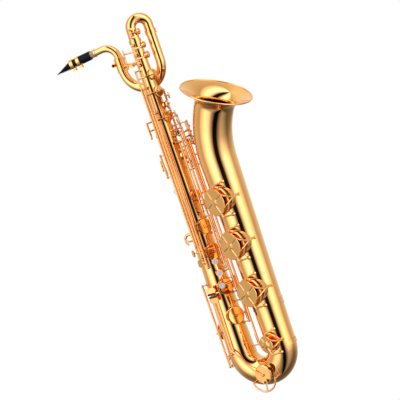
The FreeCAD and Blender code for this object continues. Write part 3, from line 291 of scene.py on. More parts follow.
def finish_mesh(name, mesh, body, paints, replaced=(), sharp_angle=35.0):
    """Object from a bmesh in millimetres, smooth shaded, riding on a body."""
    data = bpy.data.meshes.new(name)
    bmesh.ops.recalc_face_normals(mesh, faces=mesh.faces)
    bmesh.ops.scale(mesh, vec=(MM, MM, MM), verts=mesh.verts)
    mesh.to_mesh(data)
    mesh.free()
    data.shade_smooth()
    data.set_sharp_from_angle(angle=math.radians(sharp_angle))
    made = bpy.data.objects.new(name, data)
    bpy.context.scene.collection.objects.link(made)
    for paint in paints:
        data.materials.append(paint)
    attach(made, body)
    if replaced:
        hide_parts(*replaced)
    return made


def frame_axes(direction, side):
    """Unit axes square to a direction, the first close to side."""
    first = (side - direction * side.dot(direction)).normalized()
    return first, direction.cross(first)


def ring_of(mesh, centre, direction, side, radius, steps=RING_STEPS):
    """Ring of vertices square to direction."""
    first, second = frame_axes(direction, side)
    return [mesh.verts.new(centre + (first * math.cos(turn) + second * math.sin(turn)) * radius)
            for turn in (2 * math.pi * step / steps for step in range(steps))]


def bridge(mesh, low, high, paint=0):
    """Quads between two rings."""
    count = len(low)
    for step in range(count):
        following = (step + 1) % count
        face = mesh.faces.new((low[step], low[following], high[following], high[step]))
        face.material_index = paint


def skin(mesh, stations, side, closed=False, paint=0, steps=RING_STEPS):
    """Surface through (centre, direction, radius) stations; closed joins the last to the first."""
    rings = [ring_of(mesh, centre, direction, side, radius, steps)
             for centre, direction, radius in stations]
    pairs = list(zip(rings, rings[1:]))
    if closed:
        pairs.append((rings[-1], rings[0]))
    for low, high in pairs:
        bridge(mesh, low, high, paint)
    return rings


def cap(mesh, ring, paint=0):
    """Flat face that closes a ring."""
    face = mesh.faces.new(ring)
    face.material_index = paint


def shell(mesh, stations, side, wall=WALL, steps=RING_STEPS):
    """Open tube with a wall, through (centre, direction, outer radius) stations."""
    inner = [(centre, direction, radius - wall) for centre, direction, radius in reversed(stations)]
    skin(mesh, list(stations) + inner, side, closed=True, steps=steps)


def clear_side(direction, side):
    """The side given, or +X if it lies too close to direction."""
    return Vector((1, 0, 0)) if abs(direction.dot(side)) > 0.9 else side


def turned_stations(start, direction, profile):
    """Stations of a solid of revolution from (distance along, radius) pairs."""
    return [(start + direction * along, direction, radius) for along, radius in profile]


def turned_solid(mesh, start, direction, profile, side=Vector((0, 1, 0)), paint=0, steps=RING_STEPS):
    """Solid of revolution: profile is (distance along, radius) pairs, closed with flat ends."""
    rings = skin(mesh, turned_stations(start, direction, profile), clear_side(direction, side), paint=paint,
                 steps=steps)
    cap(mesh, rings[0], paint)
    cap(mesh, rings[-1], paint)


def hollow_turned(mesh, start, direction, profile, side=Vector((0, 1, 0)), paint=0, steps=RING_STEPS):
    """Ring-shaped solid of revolution: profile is a closed loop of (distance along, radius) pairs."""
    skin(mesh, turned_stations(start, direction, profile), clear_side(direction, side), closed=True,
         paint=paint, steps=steps)


def torus(mesh, centre, axis, major, minor, paint=0, steps=RING_STEPS, around=20):
    """Round wire bent into a full circle."""
    profile = [(minor * math.sin(turn), major + minor * math.cos(turn))
               for turn in (2 * math.pi * step / around for step in range(around))]
    hollow_turned(mesh, centre, axis, profile, paint=paint, steps=steps)


def arc(centre, start_direction, normal, radius, sweep, radii, count):
    """Stations along an arc that starts at centre + radius * start_direction and turns about normal."""
    stations = []
    for index in range(count + 1):
        share = index / count
        spoke = Matrix.Rotation(math.radians(sweep * share), 3, normal) @ start_direction
        direction = normal.cross(spoke) * (1 if sweep > 0 else -1)
        stations.append((centre + spoke * radius, direction, radii[0] + (radii[1] - radii[0]) * share))
    return stations


# ---------------------------------------------------------------- tone holes and key cups

BELL_HOLE_AZIMUTH, BELL_HOLE_INSET = -4.0, 5.5
BODY_HOLE_INSET, VENT_HOLE_INSET, BOW_HOLE_INSET = 4.2, 3.4, 4.5
# name, hinge line (x, y from the body's axis), rest turn, hole azimuth, hole height, cup radius
BELL_CUPS = (
    ("key_low_a", (45, -26), -6.0, BELL_HOLE_AZIMUTH, -49, 40.5),
    ("key_low_b_flat", (51, -19), -6.0, BELL_HOLE_AZIMUTH, -172, 40.5),
    ("key_low_b", (57, -12), -6.0, BELL_HOLE_AZIMUTH, -307, 39.5),
    ("key_low_c_sharp", (63, -5), 0.0, BELL_HOLE_AZIMUTH, -452, 26.5),
)
NEAR_LINE, FAR_LINE = (42.8, 7.5), (52, 1.8)
INNER_LINE, OUTER_LINE = (16.5, 28.6), (27.6, 32.9)
PALM_LINE = (2.2, -24.9)
STACK_OPENING = 7.0
SIDE_LINE_RADIUS, SIDE_HOLE_AZIMUTH = 37.0, 74.0
PALM_HOLE_AZIMUTH = 98.0
UPPER_PEARL_AZIMUTH, UPPER_PEARL_RADIUS = 106.0, 37.0


def side_line(azimuth):
    """Hinge line of a side key from its azimuth."""
    angle = math.radians(azimuth)
    return SIDE_LINE_RADIUS * math.sin(angle), -SIDE_LINE_RADIUS * math.cos(angle)


# name, hinge line, rest turn, hole azimuth, hole height, cup radius
BODY_CUPS = (
    ("key_g_sharp", (50, 8), 0.0, 68, -22, 16.5),
    ("key_low_e_flat", (-30.7, -32.9), 0.0, -105, -400, 24.0),
    ("key_f_sharp", NEAR_LINE, STACK_OPENING, 53, -108, 21.0),
    ("key_f", NEAR_LINE, STACK_OPENING, 53, -179, 22.5),
    ("key_e", NEAR_LINE, STACK_OPENING, 53, -279, 22.0),
    ("key_d", FAR_LINE, STACK_OPENING, 53, -361, 25.0),
    ("key_b", INNER_LINE, STACK_OPENING, 100, 232, 11.0),
    ("key_a", INNER_LINE, STACK_OPENING, 112, 150, 11.5),
    ("key_g", OUTER_LINE, STACK_OPENING, 100, 90, 14.0),
    ("key_high_e", side_line(-12), 0.0, SIDE_HOLE_AZIMUTH, 320, 14.5),
    ("key_side_c", side_line(0), 0.0, SIDE_HOLE_AZIMUTH, 272, 14.5),
    ("key_side_b_flat", side_line(12), 0.0, SIDE_HOLE_AZIMUTH, 200, 13.5),
    ("key_palm_d", PALM_LINE, 0.0, PALM_HOLE_AZIMUTH, 402, 8.7),
    ("key_palm_e_flat", PALM_LINE, 0.0, PALM_HOLE_AZIMUTH, 374, 9.5),
    ("octave_vent", (-27, 8), 0.0, -150, 238, 6.6),
)
# name, hinge line, azimuth, distance from the body's axis, height
PEARLS = (
    ("key_f", NEAR_LINE, 39, body_radius(-205) + 16.5, -205),
    ("key_e", NEAR_LINE, 41, body_radius(-238) + 16.5, -238),
    ("key_d", FAR_LINE, 35, body_radius(-271) + 24.0, -271),
    ("key_b", INNER_LINE, UPPER_PEARL_AZIMUTH, UPPER_PEARL_RADIUS, 253),
    ("key_a", INNER_LINE, UPPER_PEARL_AZIMUTH, UPPER_PEARL_RADIUS, 203),
    ("key_g", OUTER_LINE, UPPER_PEARL_AZIMUTH, UPPER_PEARL_RADIUS, 184),
)


def at_rest(line, turn):
    """Transform from a key's closed place to its rest place, in millimetres."""
    axis = Vector((BODY_X + line[0], line[1], 0))
    turned = Matrix.Rotation(math.radians(turn), 4, "Z")
    return Matrix.Translation(axis) @ turned @ Matrix.Translation(-axis)


# name: centre of the tone-hole rim, outward normal, cup radius, transform to the rest place
cups = {}
for axis_x, tube_radius, rows in ((BELL_X, bell_radius, BELL_CUPS), (BODY_X, body_radius, BODY_CUPS)):
    for label, line, turn, azimuth, z, radius in rows:
        seat = polar(axis_x, azimuth, tube_radius(z) + CHIMNEY_HEIGHT, z)
        cups[label] = (seat, outward(azimuth), radius, at_rest(line, turn))
LOW_C_CENTRE = Vector((BODY_X + 74.0, 0, -530.0))
LOW_C_LINE, LOW_C_TURN, LOW_C_RADIUS = (-4, -46), -6.0, 26.0
LOW_C_RIM = 39.3 + CHIMNEY_HEIGHT
low_c_rest = at_rest(LOW_C_LINE, LOW_C_TURN)
cups["key_low_c"] = (LOW_C_CENTRE + TO_FRONT * LOW_C_RIM, TO_FRONT, LOW_C_RADIUS, low_c_rest)
HIGH_F_AZIMUTH, HIGH_F_Z, HIGH_F_RADIUS, HIGH_F_LINE = 84.0, 440.0, 8.5, (10, -25.5)
cups["key_high_f"] = (polar(BODY_X, HIGH_F_AZIMUTH, TOP_TUBE_RADIUS + CHIMNEY_HEIGHT, HIGH_F_Z),
                      outward(HIGH_F_AZIMUTH), HIGH_F_RADIUS, at_rest(HIGH_F_LINE, 0.0))


def in_disc(point, centre, normal, radius, low, high):
    """True if a point lies in a short round slab."""
    offset = point - centre
    along = offset.dot(normal)
    return low <= along <= high and (offset - normal * along).length <= radius


SLAB_SLACK = 0.06
TABLE_NORMAL = outward(140)
TABLE_SPOT = Vector((BODY_X + 42, 40, 0))
TABLE_ROLLER_OUT, TABLE_ROLLER_DROP, TABLE_ROLLER_HALF = 3.2, 5.4, 10.0
# name of a left-hand table key, height of its plate
TABLE_PLATES = (
    ("key_g_sharp", 116.0),
    ("key_low_b_flat", 132.5),
    ("key_low_b", 147.5),
    ("lever_low_c_sharp", 162.5),
)
ROLLER_RADIUS = 2.7
PINKY_X = BODY_X + 1.0
E_FLAT_ROLLER_Y, E_FLAT_ROLLER_Z = -53.8, -286.2
LOW_C_ROLLER_Y, LOW_C_ROLLER_Z = -54.3, -294.2


def paint_node(label, base, regions=()):
    """Give a CAD node its materials: base everywhere, and the first region's paint where it applies."""
    thing = nodes[label]
    data = thing.data
    data.materials.clear()
    data.materials.append(base)
    for paint, _ in regions:
        data.materials.append(paint)
    tests = [test for _, test in regions]
    for polygon in data.polygons:
        centre = polygon.center / MM
        polygon.material_index = next((index for index, test in enumerate(tests, start=1) if test(centre)), 0)


def pad_test(label):
    """Test for the pad of a key, at the key's rest place."""
    seat, normal, radius, rest = cups[label]
    centre = rest @ (seat + normal * PAD_GAP)
    facing = rest.to_3x3() @ normal
    return lambda point: in_disc(point, centre, facing, radius - CUP_WALL + SLAB_SLACK, -SLAB_SLACK,
                                 PAD_THICKNESS + SLAB_SLACK)


def pearl_test(line, azimuth, z, turn, rho):
    """Test for a pearl of a key, at the key's rest place."""
    rest = at_rest(line, turn)
    facing = rest.to_3x3() @ outward(azimuth)
    centre = rest @ polar(BODY_X, azimuth, rho, z)
    return lambda point: in_disc(point, centre, facing, PEARL_RADIUS + SLAB_SLACK, -PEARL_SINK - SLAB_SLACK,
                                 PEARL_RISE)


def rod_test(start, end, radius):
    """Test for a straight roller."""
    direction = (end - start).normalized()
    return lambda point: in_disc(point, start, direction, radius + SLAB_SLACK, -SLAB_SLACK,
                                 (end - start).length + SLAB_SLACK)


def table_roller(z):
    """Test for the roller of a left-hand table plate."""
    half = Vector((-TABLE_NORMAL.y, TABLE_NORMAL.x, 0)) * TABLE_ROLLER_HALF
    middle = TABLE_SPOT + TABLE_NORMAL * TABLE_ROLLER_OUT + UP * (z - TABLE_ROLLER_DROP)
    return rod_test(middle - half, middle + half, ROLLER_RADIUS)


def pinky_roller(x_from, x_to, y, z, rest=Matrix()):
    """Test for the roller of a right-hand little-finger plate, between distances from PINKY_X."""
    start = rest @ Vector((PINKY_X + x_from, y, z))
    end = rest @ Vector((PINKY_X + x_to, y, z))
    return rod_test(start, end, ROLLER_RADIUS)


regions = {label: [(pad_leather, pad_test(label))] for label in cups}
for label, line, azimuth, rho, z in PEARLS:
    regions[label].append((pearl, pearl_test(line, azimuth, z, STACK_OPENING, rho)))
for label, z in TABLE_PLATES:
    regions.setdefault(label, []).append((roller_black, table_roller(z)))
e_flat_roller = pinky_roller(-11, 11, E_FLAT_ROLLER_Y, E_FLAT_ROLLER_Z)
low_c_roller = pinky_roller(-8, 14, LOW_C_ROLLER_Y, LOW_C_ROLLER_Z, low_c_rest)
regions["key_low_e_flat"].append((roller_black, e_flat_roller))
regions["key_low_c"].append((roller_black, low_c_roller))

OTHER_PAINTS = {
    "hinge_rods": steel,
    "needle_springs": blued_steel,
    "guard_bumpers": felt,
    "neck_cork": cork,
    "mouthpiece": ebonite,
    "strap_ring": nickel,
    "thumb_rest": black_plastic,
}
for label, thing in nodes.items():
    base = OTHER_PAINTS.get(label, key_brass)
    paint_node(label, base, regions.get(label, ()))

# ---------------------------------------------------------------- main tubes

CHIMNEY_BEAD, CHIMNEY_ROUND, CHIMNEY_ROOT = 0.7, 0.3, 1.0


def chimney(mesh, axis_point, normal, cup_radius, top, inset, start):
    """Tone-hole chimney: a short wall from the tube up to a rolled rim."""
    bore = cup_radius - inset
    outer = bore + CHIMNEY_WALL
    profile = [(start, bore), (start, outer), (top - CHIMNEY_BEAD, outer),
               (top - 0.4 * CHIMNEY_BEAD, outer + CHIMNEY_BEAD / 2), (top, outer - CHIMNEY_ROUND),
               (top, bore + CHIMNEY_ROUND), (top - CHIMNEY_ROUND, bore)]
    hollow_turned(mesh, axis_point, normal, profile, side=UP, steps=64)


def tube_chimneys(mesh, axis_x, tube_radius, rows, inset_of):
    """Chimneys under a tube's cups, each starting just inside the tube's skin."""
    for label, _, _, azimuth, z, radius in rows:
        inset = inset_of(label)
        rho = tube_radius(z)
        outer = radius - inset + CHIMNEY_WALL
        start = math.sqrt(rho * rho - outer * outer) - CHIMNEY_ROOT
        chimney(mesh, Vector((axis_x, 0, z)), outward(azimuth), radius, rho + CHIMNEY_HEIGHT, inset, start)


def body_inset(label):
    """How much smaller a body tone hole is than its cup."""
    return VENT_HOLE_INSET if label == "octave_vent" else BODY_HOLE_INSET


body_mesh = bmesh.new()
BODY_STEPS = 24
body_stations = [(Vector((BODY_X, 0, BODY_BOTTOM + (BODY_TOP - BODY_BOTTOM) * step / BODY_STEPS)), UP,
                  BODY_BOTTOM_RADIUS + (BODY_TOP_RADIUS - BODY_BOTTOM_RADIUS) * step / BODY_STEPS)
                 for step in range(BODY_STEPS + 1)]
shell(body_mesh, body_stations, TO_BACK)
tube_chimneys(body_mesh, BODY_X, body_radius, BODY_CUPS, body_inset)
finish_mesh("body_tube_polished", body_mesh, "root", [brass], ["body_tube"])

bow_mesh = bmesh.new()
BOW_RADIUS = (BELL_X - BODY_X) / 2
BOW_STEPS = 72
LOW_C_CHIMNEY_START = 30.0
bow_centre = Vector((BODY_X + BOW_RADIUS, 0, BODY_BOTTOM))
bow_stations = arc(bow_centre, TO_LEFT, TO_FRONT, BOW_RADIUS, 180,
                   (BODY_BOTTOM_RADIUS, BELL_BASE_RADIUS), BOW_STEPS)
shell(bow_mesh, bow_stations, TO_BACK)
chimney(bow_mesh, LOW_C_CENTRE, TO_FRONT, LOW_C_RADIUS, LOW_C_RIM, BOW_HOLE_INSET, LOW_C_CHIMNEY_START)
finish_mesh("lower_bow_polished", bow_mesh, "root", [brass], ["lower_bow"])

bell_mesh = bmesh.new()
BELL_STEPS, BELL_BEND_STEPS, FLARE_STEPS = 20, 24, 36
bell_stations = []
for step in range(BELL_STEPS):
    z = BODY_BOTTOM + (BELL_BEND_START - BODY_BOTTOM) * step / BELL_STEPS
    bell_stations.append((Vector((BELL_X, 0, z)), UP, bell_radius(z)))
bend_centre = Vector((BELL_X + BELL_BEND_RADIUS, 0, BELL_BEND_START))
bend = arc(bend_centre, TO_LEFT, TO_BACK, BELL_BEND_RADIUS, BELL_TILT, (1, 1), BELL_BEND_STEPS)
bend_length = math.radians(BELL_TILT) * BELL_BEND_RADIUS
for index, (centre, direction, _) in enumerate(bend):
    along = BELL_BEND_START + bend_length * index / BELL_BEND_STEPS
    bell_stations.append((centre, direction, bell_radius(along)))
flare_start, flare_axis, flare_base = bell_stations[-1]
for step in range(1, FLARE_STEPS + 1):
    share = step / FLARE_STEPS
    bell_stations.append((flare_start + flare_axis * FLARE_LENGTH * share, flare_axis,
                          flare_base + (RIM_RADIUS - 1.0 - flare_base) * share ** FLARE_POWER))
shell(bell_mesh, bell_stations, TO_BACK, steps=144)
tube_chimneys(bell_mesh, BELL_X, bell_radius, BELL_CUPS, lambda label: BELL_HOLE_INSET)
finish_mesh("bell_polished", bell_mesh, "root", [brass], ["bell"])

rim_mesh = bmesh.new()
rim_centre = flare_start + flare_axis * FLARE_LENGTH
torus(rim_mesh, rim_centre, flare_axis, RIM_RADIUS, RIM_WIRE, steps=160, around=24)
finish_mesh("bell_rim_polished", rim_mesh, "root", [brass], ["bell_rim"])

crook_foot = Vector((BODY_X + CROOK_X, CROOK_Y, TOP_BOW_Z))
across = Vector((CROOK_X, CROOK_Y, 0))
bow_reach = across.length / 2
across.normalize()
turn_axis = (-across).cross(UP)
SLEEVE_Z = TOP_BOW_Z - 22
sleeve = Vector((crook_foot.x, crook_foot.y, SLEEVE_Z))
top_mesh = bmesh.new()
top_centre = Vector((BODY_X, 0, TOP_BOW_Z)) + across * bow_reach
top_stations = [(Vector((BODY_X, 0, BODY_TOP)), UP, BODY_TOP_RADIUS - 0.2)]
top_stations += arc(top_centre, -across, turn_axis, bow_reach, 180,
                    (TOP_TUBE_RADIUS, TOP_TUBE_RADIUS - 0.6), 48)
top_stations.append((sleeve, -UP, TOP_TUBE_RADIUS - 0.7))
shell(top_mesh, top_stations, turn_axis, steps=72)
finish_mesh("top_bow_polished", top_mesh, "root", [brass], ["top_bow"])

receiver_axis = Vector((crook_foot.x - 2 * CROOK_ARC_RADIUS, crook_foot.y, 0))
crook_centre = Vector((crook_foot.x - CROOK_ARC_RADIUS, crook_foot.y, CROOK_ARC_Z))
crook_mesh = bmesh.new()
crook_stations = [(sleeve, -UP, TOP_TUBE_RADIUS - 0.7)]
crook_stations += arc(crook_centre, -TO_LEFT, TO_BACK, CROOK_ARC_RADIUS, 180,
                      (CROOK_RADIUS + 0.5, CROOK_RADIUS), 72)
crook_stations.append((receiver_axis + UP * (CROOK_ARC_Z + 6), UP, CROOK_RADIUS - 0.01))
shell(crook_mesh, crook_stations, TO_BACK, steps=72)
finish_mesh("crook_tube_polished", crook_mesh, "root", [brass], ["crook_tube"])

# ---------------------------------------------------------------- neck and mouthpiece

swing = math.radians(NECK_SWING)
forward = Vector((-math.cos(swing), -math.sin(swing), 0))
neck_low = receiver_axis + UP * (CROOK_ARC_Z + 7)
neck_elbow = receiver_axis + UP * (RECEIVER_TOP + 3)
neck_turn = (-forward).cross(UP)
neck_bend = arc(neck_elbow + forward * NECK_BEND_RADIUS, -forward, neck_turn, NECK_BEND_RADIUS,
                90 + NECK_DROOP, (NECK_TENON_RADIUS - 0.4, NECK_BEND_END_RADIUS), 40)
neck_end, neck_axis = neck_bend[-1][:2]
neck_mesh = bmesh.new()
neck_stations = [(neck_low, UP, NECK_TENON_RADIUS),
                 (receiver_axis + UP * RECEIVER_TOP, UP, NECK_TENON_RADIUS)]
neck_stations += neck_bend
neck_stations.append((neck_end + neck_axis * NECK_RUN, neck_axis, NECK_TIP_RADIUS))
shell(neck_mesh, neck_stations, neck_turn, steps=72)
COLLAR_RADIUS, COLLAR_BORE, COLLAR_HEIGHT = NECK_TENON_RADIUS + 1.9, 10.6, 3.4
collar_low = receiver_axis + UP * (RECEIVER_TOP + 0.4)
collar = [(0, COLLAR_BORE), (0, COLLAR_RADIUS - 0.5), (0.5, COLLAR_RADIUS), (2.6, COLLAR_RADIUS),
          (COLLAR_HEIGHT, COLLAR_RADIUS - 0.9), (COLLAR_HEIGHT, COLLAR_BORE)]
hollow_turned(neck_mesh, collar_low, UP, collar, side=neck_turn, steps=72)
finish_mesh("neck_tube_polished", neck_mesh, "neck", [brass], ["neck_tube"])

beak_side = neck_turn.cross(neck_axis)
if beak_side.z < 0:
    beak_side = -beak_side
mouth_turn = Matrix((beak_side, neck_axis.cross(beak_side), neck_axis)).transposed()
paint_node("reed", cane_reed("cane", mouth_turn))

# ---------------------------------------------------------------- guards over the bell keys

KEY_STACK = PAD_GAP + PAD_THICKNESS + CUP_WALL + CUP_CROWN + CUP_BOSS_HEIGHT
GUARD_LIFT, GUARD_THICKNESS, GUARD_INSET, GUARD_TILT = 7.9, 1.6, 2.5, 8.0
LEG_RADIUS, LEG_CLEARANCE = 2.2, 6.5
PRONG_ANGLE, SHORT_LEG_ANGLE, SHORT_FOOT_TURN = 38.0, 69.0, 24.0
FORK_HEIGHT, FOOT_CLEARANCE, PRONG_FOOT_RADIUS, SHORT_FOOT_RADIUS = 8.0, 5.5, 4.6, 5.2
# name, opening of the cup under the guard
GUARD_OPENINGS = {"key_low_a": 6.0, "key_low_b_flat": 6.0, "key_low_b": 6.0, "key_low_c_sharp": 4.0}
CREASE_ANGLES = (25.0, 115.0, 205.0, 295.0)
CREASE_DEPTH, CREASE_WIDTH, DOME_HEIGHT = 1.1, 1.5, 1.3


def rounded(points, radius):
    """Line through points with its corners rounded off."""
    line = [points[0]]
    for before, corner, after in zip(points, points[1:], points[2:]):
        start = corner + (before - corner).normalized() * min(radius, (before - corner).length * 0.45)
        end = corner + (after - corner).normalized() * min(radius, (after - corner).length * 0.45)
        for step in range(7):
            share = step / 6
            line.append(start * (1 - share) ** 2 + corner * (2 * share * (1 - share)) + end * share ** 2)
    line.append(points[-1])
    return line


def wire(mesh, points, radius_start, radius_end, side, steps=20, round_by=5.0):
    """Bent round bar through points."""
    line = rounded(points, round_by)
    stations = []
    for index, point in enumerate(line):
        before = line[max(index - 1, 0)]
        after = line[min(index + 1, len(line) - 1)]
        radius = radius_start + (radius_end - radius_start) * index / (len(line) - 1)
        stations.append((point, (after - before).normalized(), radius))
    rings = skin(mesh, stations, side, steps=steps)
    cap(mesh, rings[0])
    cap(mesh, rings[-1])


def stamped_disc(mesh, centre, facing, radius, thickness):
    """Pressed round plate: rolled edge, shallow dish and four radial creases."""
    first, second = frame_axes(facing, UP)
    hub = ((4.2, 1.2), (6.8, 0.9), (9.0, 0.35))
    dish = ((radius * 0.4, 0.1), (radius * 0.6, 0.0), (radius * 0.8, 0.0))
    edge = ((radius - 3.0, 0.1), (radius - 1.6, 0.35), (radius - 0.4, 0.1), (radius, -0.6))
    around = 144

    def row_of(level, reach, creased):
        """Ring of points at a height over the plate's foot, sunk along the creases if creased."""
        ring = []
        for step in range(around):
            turn = 2 * math.pi * step / around
            sink = DOME_HEIGHT * (reach / radius) ** 2
            if creased and 8.0 < reach < radius - 2.0:
                for angle in CREASE_ANGLES:
                    off = (math.degrees(turn) - angle + 180) % 360 - 180
                    sink += CREASE_DEPTH * math.exp(-(math.radians(off) * reach / CREASE_WIDTH) ** 2)
            ring.append(mesh.verts.new(centre + facing * (level - sink)
                                       + (first * math.cos(turn) + second * math.sin(turn)) * reach))
        return ring

    top = [row_of(thickness + rise, reach, True) for reach, rise in hub + dish + edge]
    middle = mesh.verts.new(centre + facing * (thickness + hub[0][1]))
    under = [row_of(0.9, radius, False), row_of(0.0, radius - 0.8, False)]
    base = mesh.verts.new(centre)
    for step in range(around):
        following = (step + 1) % around
        mesh.faces.new((middle, top[0][step], top[0][following]))
        mesh.faces.new((base, under[-1][following], under[-1][step]))
    for low, high in zip(top + under, (top + under)[1:]):
        bridge(mesh, low, high)


def foot_plate(mesh, azimuth, z, radius, leg_start):
    """Leg down to a round foot soldered on the bell."""
    normal = outward(azimuth)
    surface = polar(BELL_X, azimuth, bell_radius(z) - 0.6, z)
    wire(mesh, [leg_start, surface + normal * 1.5], LEG_RADIUS, LEG_RADIUS + 0.4, UP)
    foot = [(0, radius), (1.7, radius), (2.1, radius - 0.5), (2.4, LEG_RADIUS + 1.4), (4.0, LEG_RADIUS + 0.3)]
    turned_solid(mesh, surface, normal, foot, side=UP, steps=32)


def bell_guard(mesh, label, line):
    """Guard plate, its two prongs that join over a foot, and its two short legs."""
    seat, normal, cup_radius, _ = cups[label]
    opening = GUARD_OPENINGS[label]
    tangent = Vector((-normal.y, normal.x, 0))
    boss = at_rest(line, -opening) @ (seat + normal * KEY_STACK)
    centre = boss + outward(BELL_HOLE_AZIMUTH - opening) * GUARD_LIFT
    facing = outward(BELL_HOLE_AZIMUTH - opening - GUARD_TILT)
    away = Vector((-facing.y, facing.x, 0))
    rim = cup_radius - GUARD_INSET
    reach = cup_radius + LEG_CLEARANCE
    middle = centre + facing * (GUARD_THICKNESS / 2)
    stamped_disc(mesh, centre, facing, rim, GUARD_THICKNESS)
    fork = seat + tangent * reach + normal * FORK_HEIGHT
    foot_reach = cup_radius - BELL_HOLE_INSET + CHIMNEY_WALL + FOOT_CLEARANCE
    foot_turn = math.degrees(math.asin(foot_reach / bell_radius(seat.z)))
    foot_plate(mesh, BELL_HOLE_AZIMUTH + foot_turn, seat.z, PRONG_FOOT_RADIUS, fork)
    for side in (-1, 1):
        prong = math.radians(PRONG_ANGLE)
        start = middle + (away * math.cos(prong) + UP * side * math.sin(prong)) * (rim - 2)
        shoulder = middle + away * (reach + 0.5) + UP * (side * rim * 0.3)
        wire(mesh, [start, shoulder, fork], LEG_RADIUS - 0.3, LEG_RADIUS + 0.2, facing, round_by=3.0)
        short = math.radians(SHORT_LEG_ANGLE)
        spoke = away * math.cos(short) + UP * (side * math.sin(short))
        knee = middle + spoke * reach
        wire_side = UP.cross(spoke) if abs(spoke.z) > 0.9 else UP
        wire(mesh, [middle + spoke * (rim - 2), knee - spoke, knee - facing], LEG_RADIUS - 0.1, LEG_RADIUS,
             wire_side, round_by=3.0)
        foot_plate(mesh, BELL_HOLE_AZIMUTH + SHORT_FOOT_TURN, knee.z + side * 2, SHORT_FOOT_RADIUS, knee)


guard_mesh = bmesh.new()
for label, line, *_ in BELL_CUPS:
    bell_guard(guard_mesh, label, line)
finish_mesh("bell_key_guards_stamped", guard_mesh, "root", [brass], ["bell_key_guards"],
            sharp_angle=50.0)

# ---------------------------------------------------------------- cups of two side keys

# The CAD nodes of these keys end at the last bend of their arms, so their cups are made here.
BOSS_FOOT_RADIUS, BOSS_TIP_RADIUS = 6.0, 3.6
ARM_START_RADIUS, ARM_END_RADIUS = 2.3, 2.0
ARM_BEND_AZIMUTH, ARM_BEND_CLEARANCE = 48.0, 15.0
EDGE_REACH, EDGE_RISE = 0.6, 0.9


def side_cup(label):
    """Brass cup over a side key's pad, and the end of the arm that carries it."""
    seat, normal, radius, _ = cups[label]
    mesh = bmesh.new()
    pad_top = PAD_THICKNESS - PAD_DROP
    crown = pad_top + CUP_WALL
    top = crown + CUP_CROWN
    inside = radius - CUP_WALL
    profile = [(pad_top, inside), (0, inside), (0, radius), (crown, radius), (top, radius - CROWN_BEVEL),
               (top, BOSS_FOOT_RADIUS), (top + CUP_BOSS_HEIGHT, BOSS_TIP_RADIUS)]
    turned_solid(mesh, seat + normal * (PAD_GAP + PAD_DROP), normal, profile, side=UP, steps=64)
    middle = seat + normal * (PAD_GAP + PAD_DROP + top)
    bend = polar(BODY_X, ARM_BEND_AZIMUTH, body_radius(seat.z) + ARM_BEND_CLEARANCE, seat.z)
    along = middle - bend
    along = (along - normal * along.dot(normal)).normalized()
    edge = middle - along * (radius + EDGE_REACH) + normal * EDGE_RISE
    wire(mesh, [bend, edge, middle + normal * EDGE_RISE], ARM_START_RADIUS, ARM_END_RADIUS, UP,
         round_by=2.0)
    finish_mesh(label + "_cup", mesh, label, [key_brass])


for label in ("key_high_e", "key_side_b_flat"):
    side_cup(label)

# ---------------------------------------------------------------- camera, light and floor

CAMERA_AZIMUTH, CAMERA_ELEVATION, CAMERA_DISTANCE = 32.0, 5.0, 7.0
OBJECT_LEAN = 19.0
LOOK_AT = Vector((0.0558, 0.0136, -0.0406))
FRAME_WIDTH = 1.072
SENSOR_WIDTH = 36.0
NEAR_CLIP, FAR_CLIP = 0.1, 60.0


def add_camera():
    """Camera at the photograph's viewing angle, rolled so that the object leans."""
    azimuth, elevation = math.radians(CAMERA_AZIMUTH), math.radians(CAMERA_ELEVATION)
    back = Vector((math.sin(azimuth) * math.cos(elevation), -math.cos(azimuth) * math.cos(elevation),
                   math.sin(elevation)))
    right = Vector((math.cos(azimuth), math.sin(azimuth), 0))
    upright = back.cross(right)
    lean = math.radians(OBJECT_LEAN)
    top = upright * math.cos(lean) + right * math.sin(lean)
    side = right * math.cos(lean) - upright * math.sin(lean)
    lens = bpy.data.cameras.new("camera")
    lens.sensor_width = SENSOR_WIDTH
    lens.lens = SENSOR_WIDTH * CAMERA_DISTANCE / FRAME_WIDTH
    lens.clip_start = NEAR_CLIP
    lens.clip_end = FAR_CLIP
    holder = bpy.data.objects.new("camera", lens)
    bpy.context.scene.collection.objects.link(holder)
    turn = Matrix((side, top, back)).transposed()
    holder.matrix_world = Matrix.Translation(LOOK_AT + back * CAMERA_DISTANCE) @ turn.to_4x4()
    bpy.context.scene.camera = holder


# Brightness of a plain studio against the angle to either side of the camera: a dark gap, a large soft
# light, a dim flank and a lit backdrop.
STUDIO_SIDE = ((10, 0.01), (40, 2.2), (60, 1.8), (90, 0.6), (130, 0.8), (180, 0.95))
STUDIO = [(-turn, level) for turn, level in reversed(STUDIO_SIDE)] + list(STUDIO_SIDE)
# Share of that light against the direction's height, from straight down (0) to straight up (1).
STUDIO_RISE = ((0.0, 0.12), (0.25, 0.32), (0.42, 0.95), (0.76, 1.0), (0.92, 1.08), (1.0, 1.15))
STUDIO_PEAK = 3.2
BLUE_FROM, BLUE_GAIN = 0.9, 0.3


def light_colour(level):
    """Ramp colour of a studio level: the brightest lights are slightly blue."""
    cool = BLUE_GAIN * max(level - BLUE_FROM, 0.0)
    share = level / STUDIO_PEAK
    return share, share * (1 + cool * 0.2), share * (1 + cool)


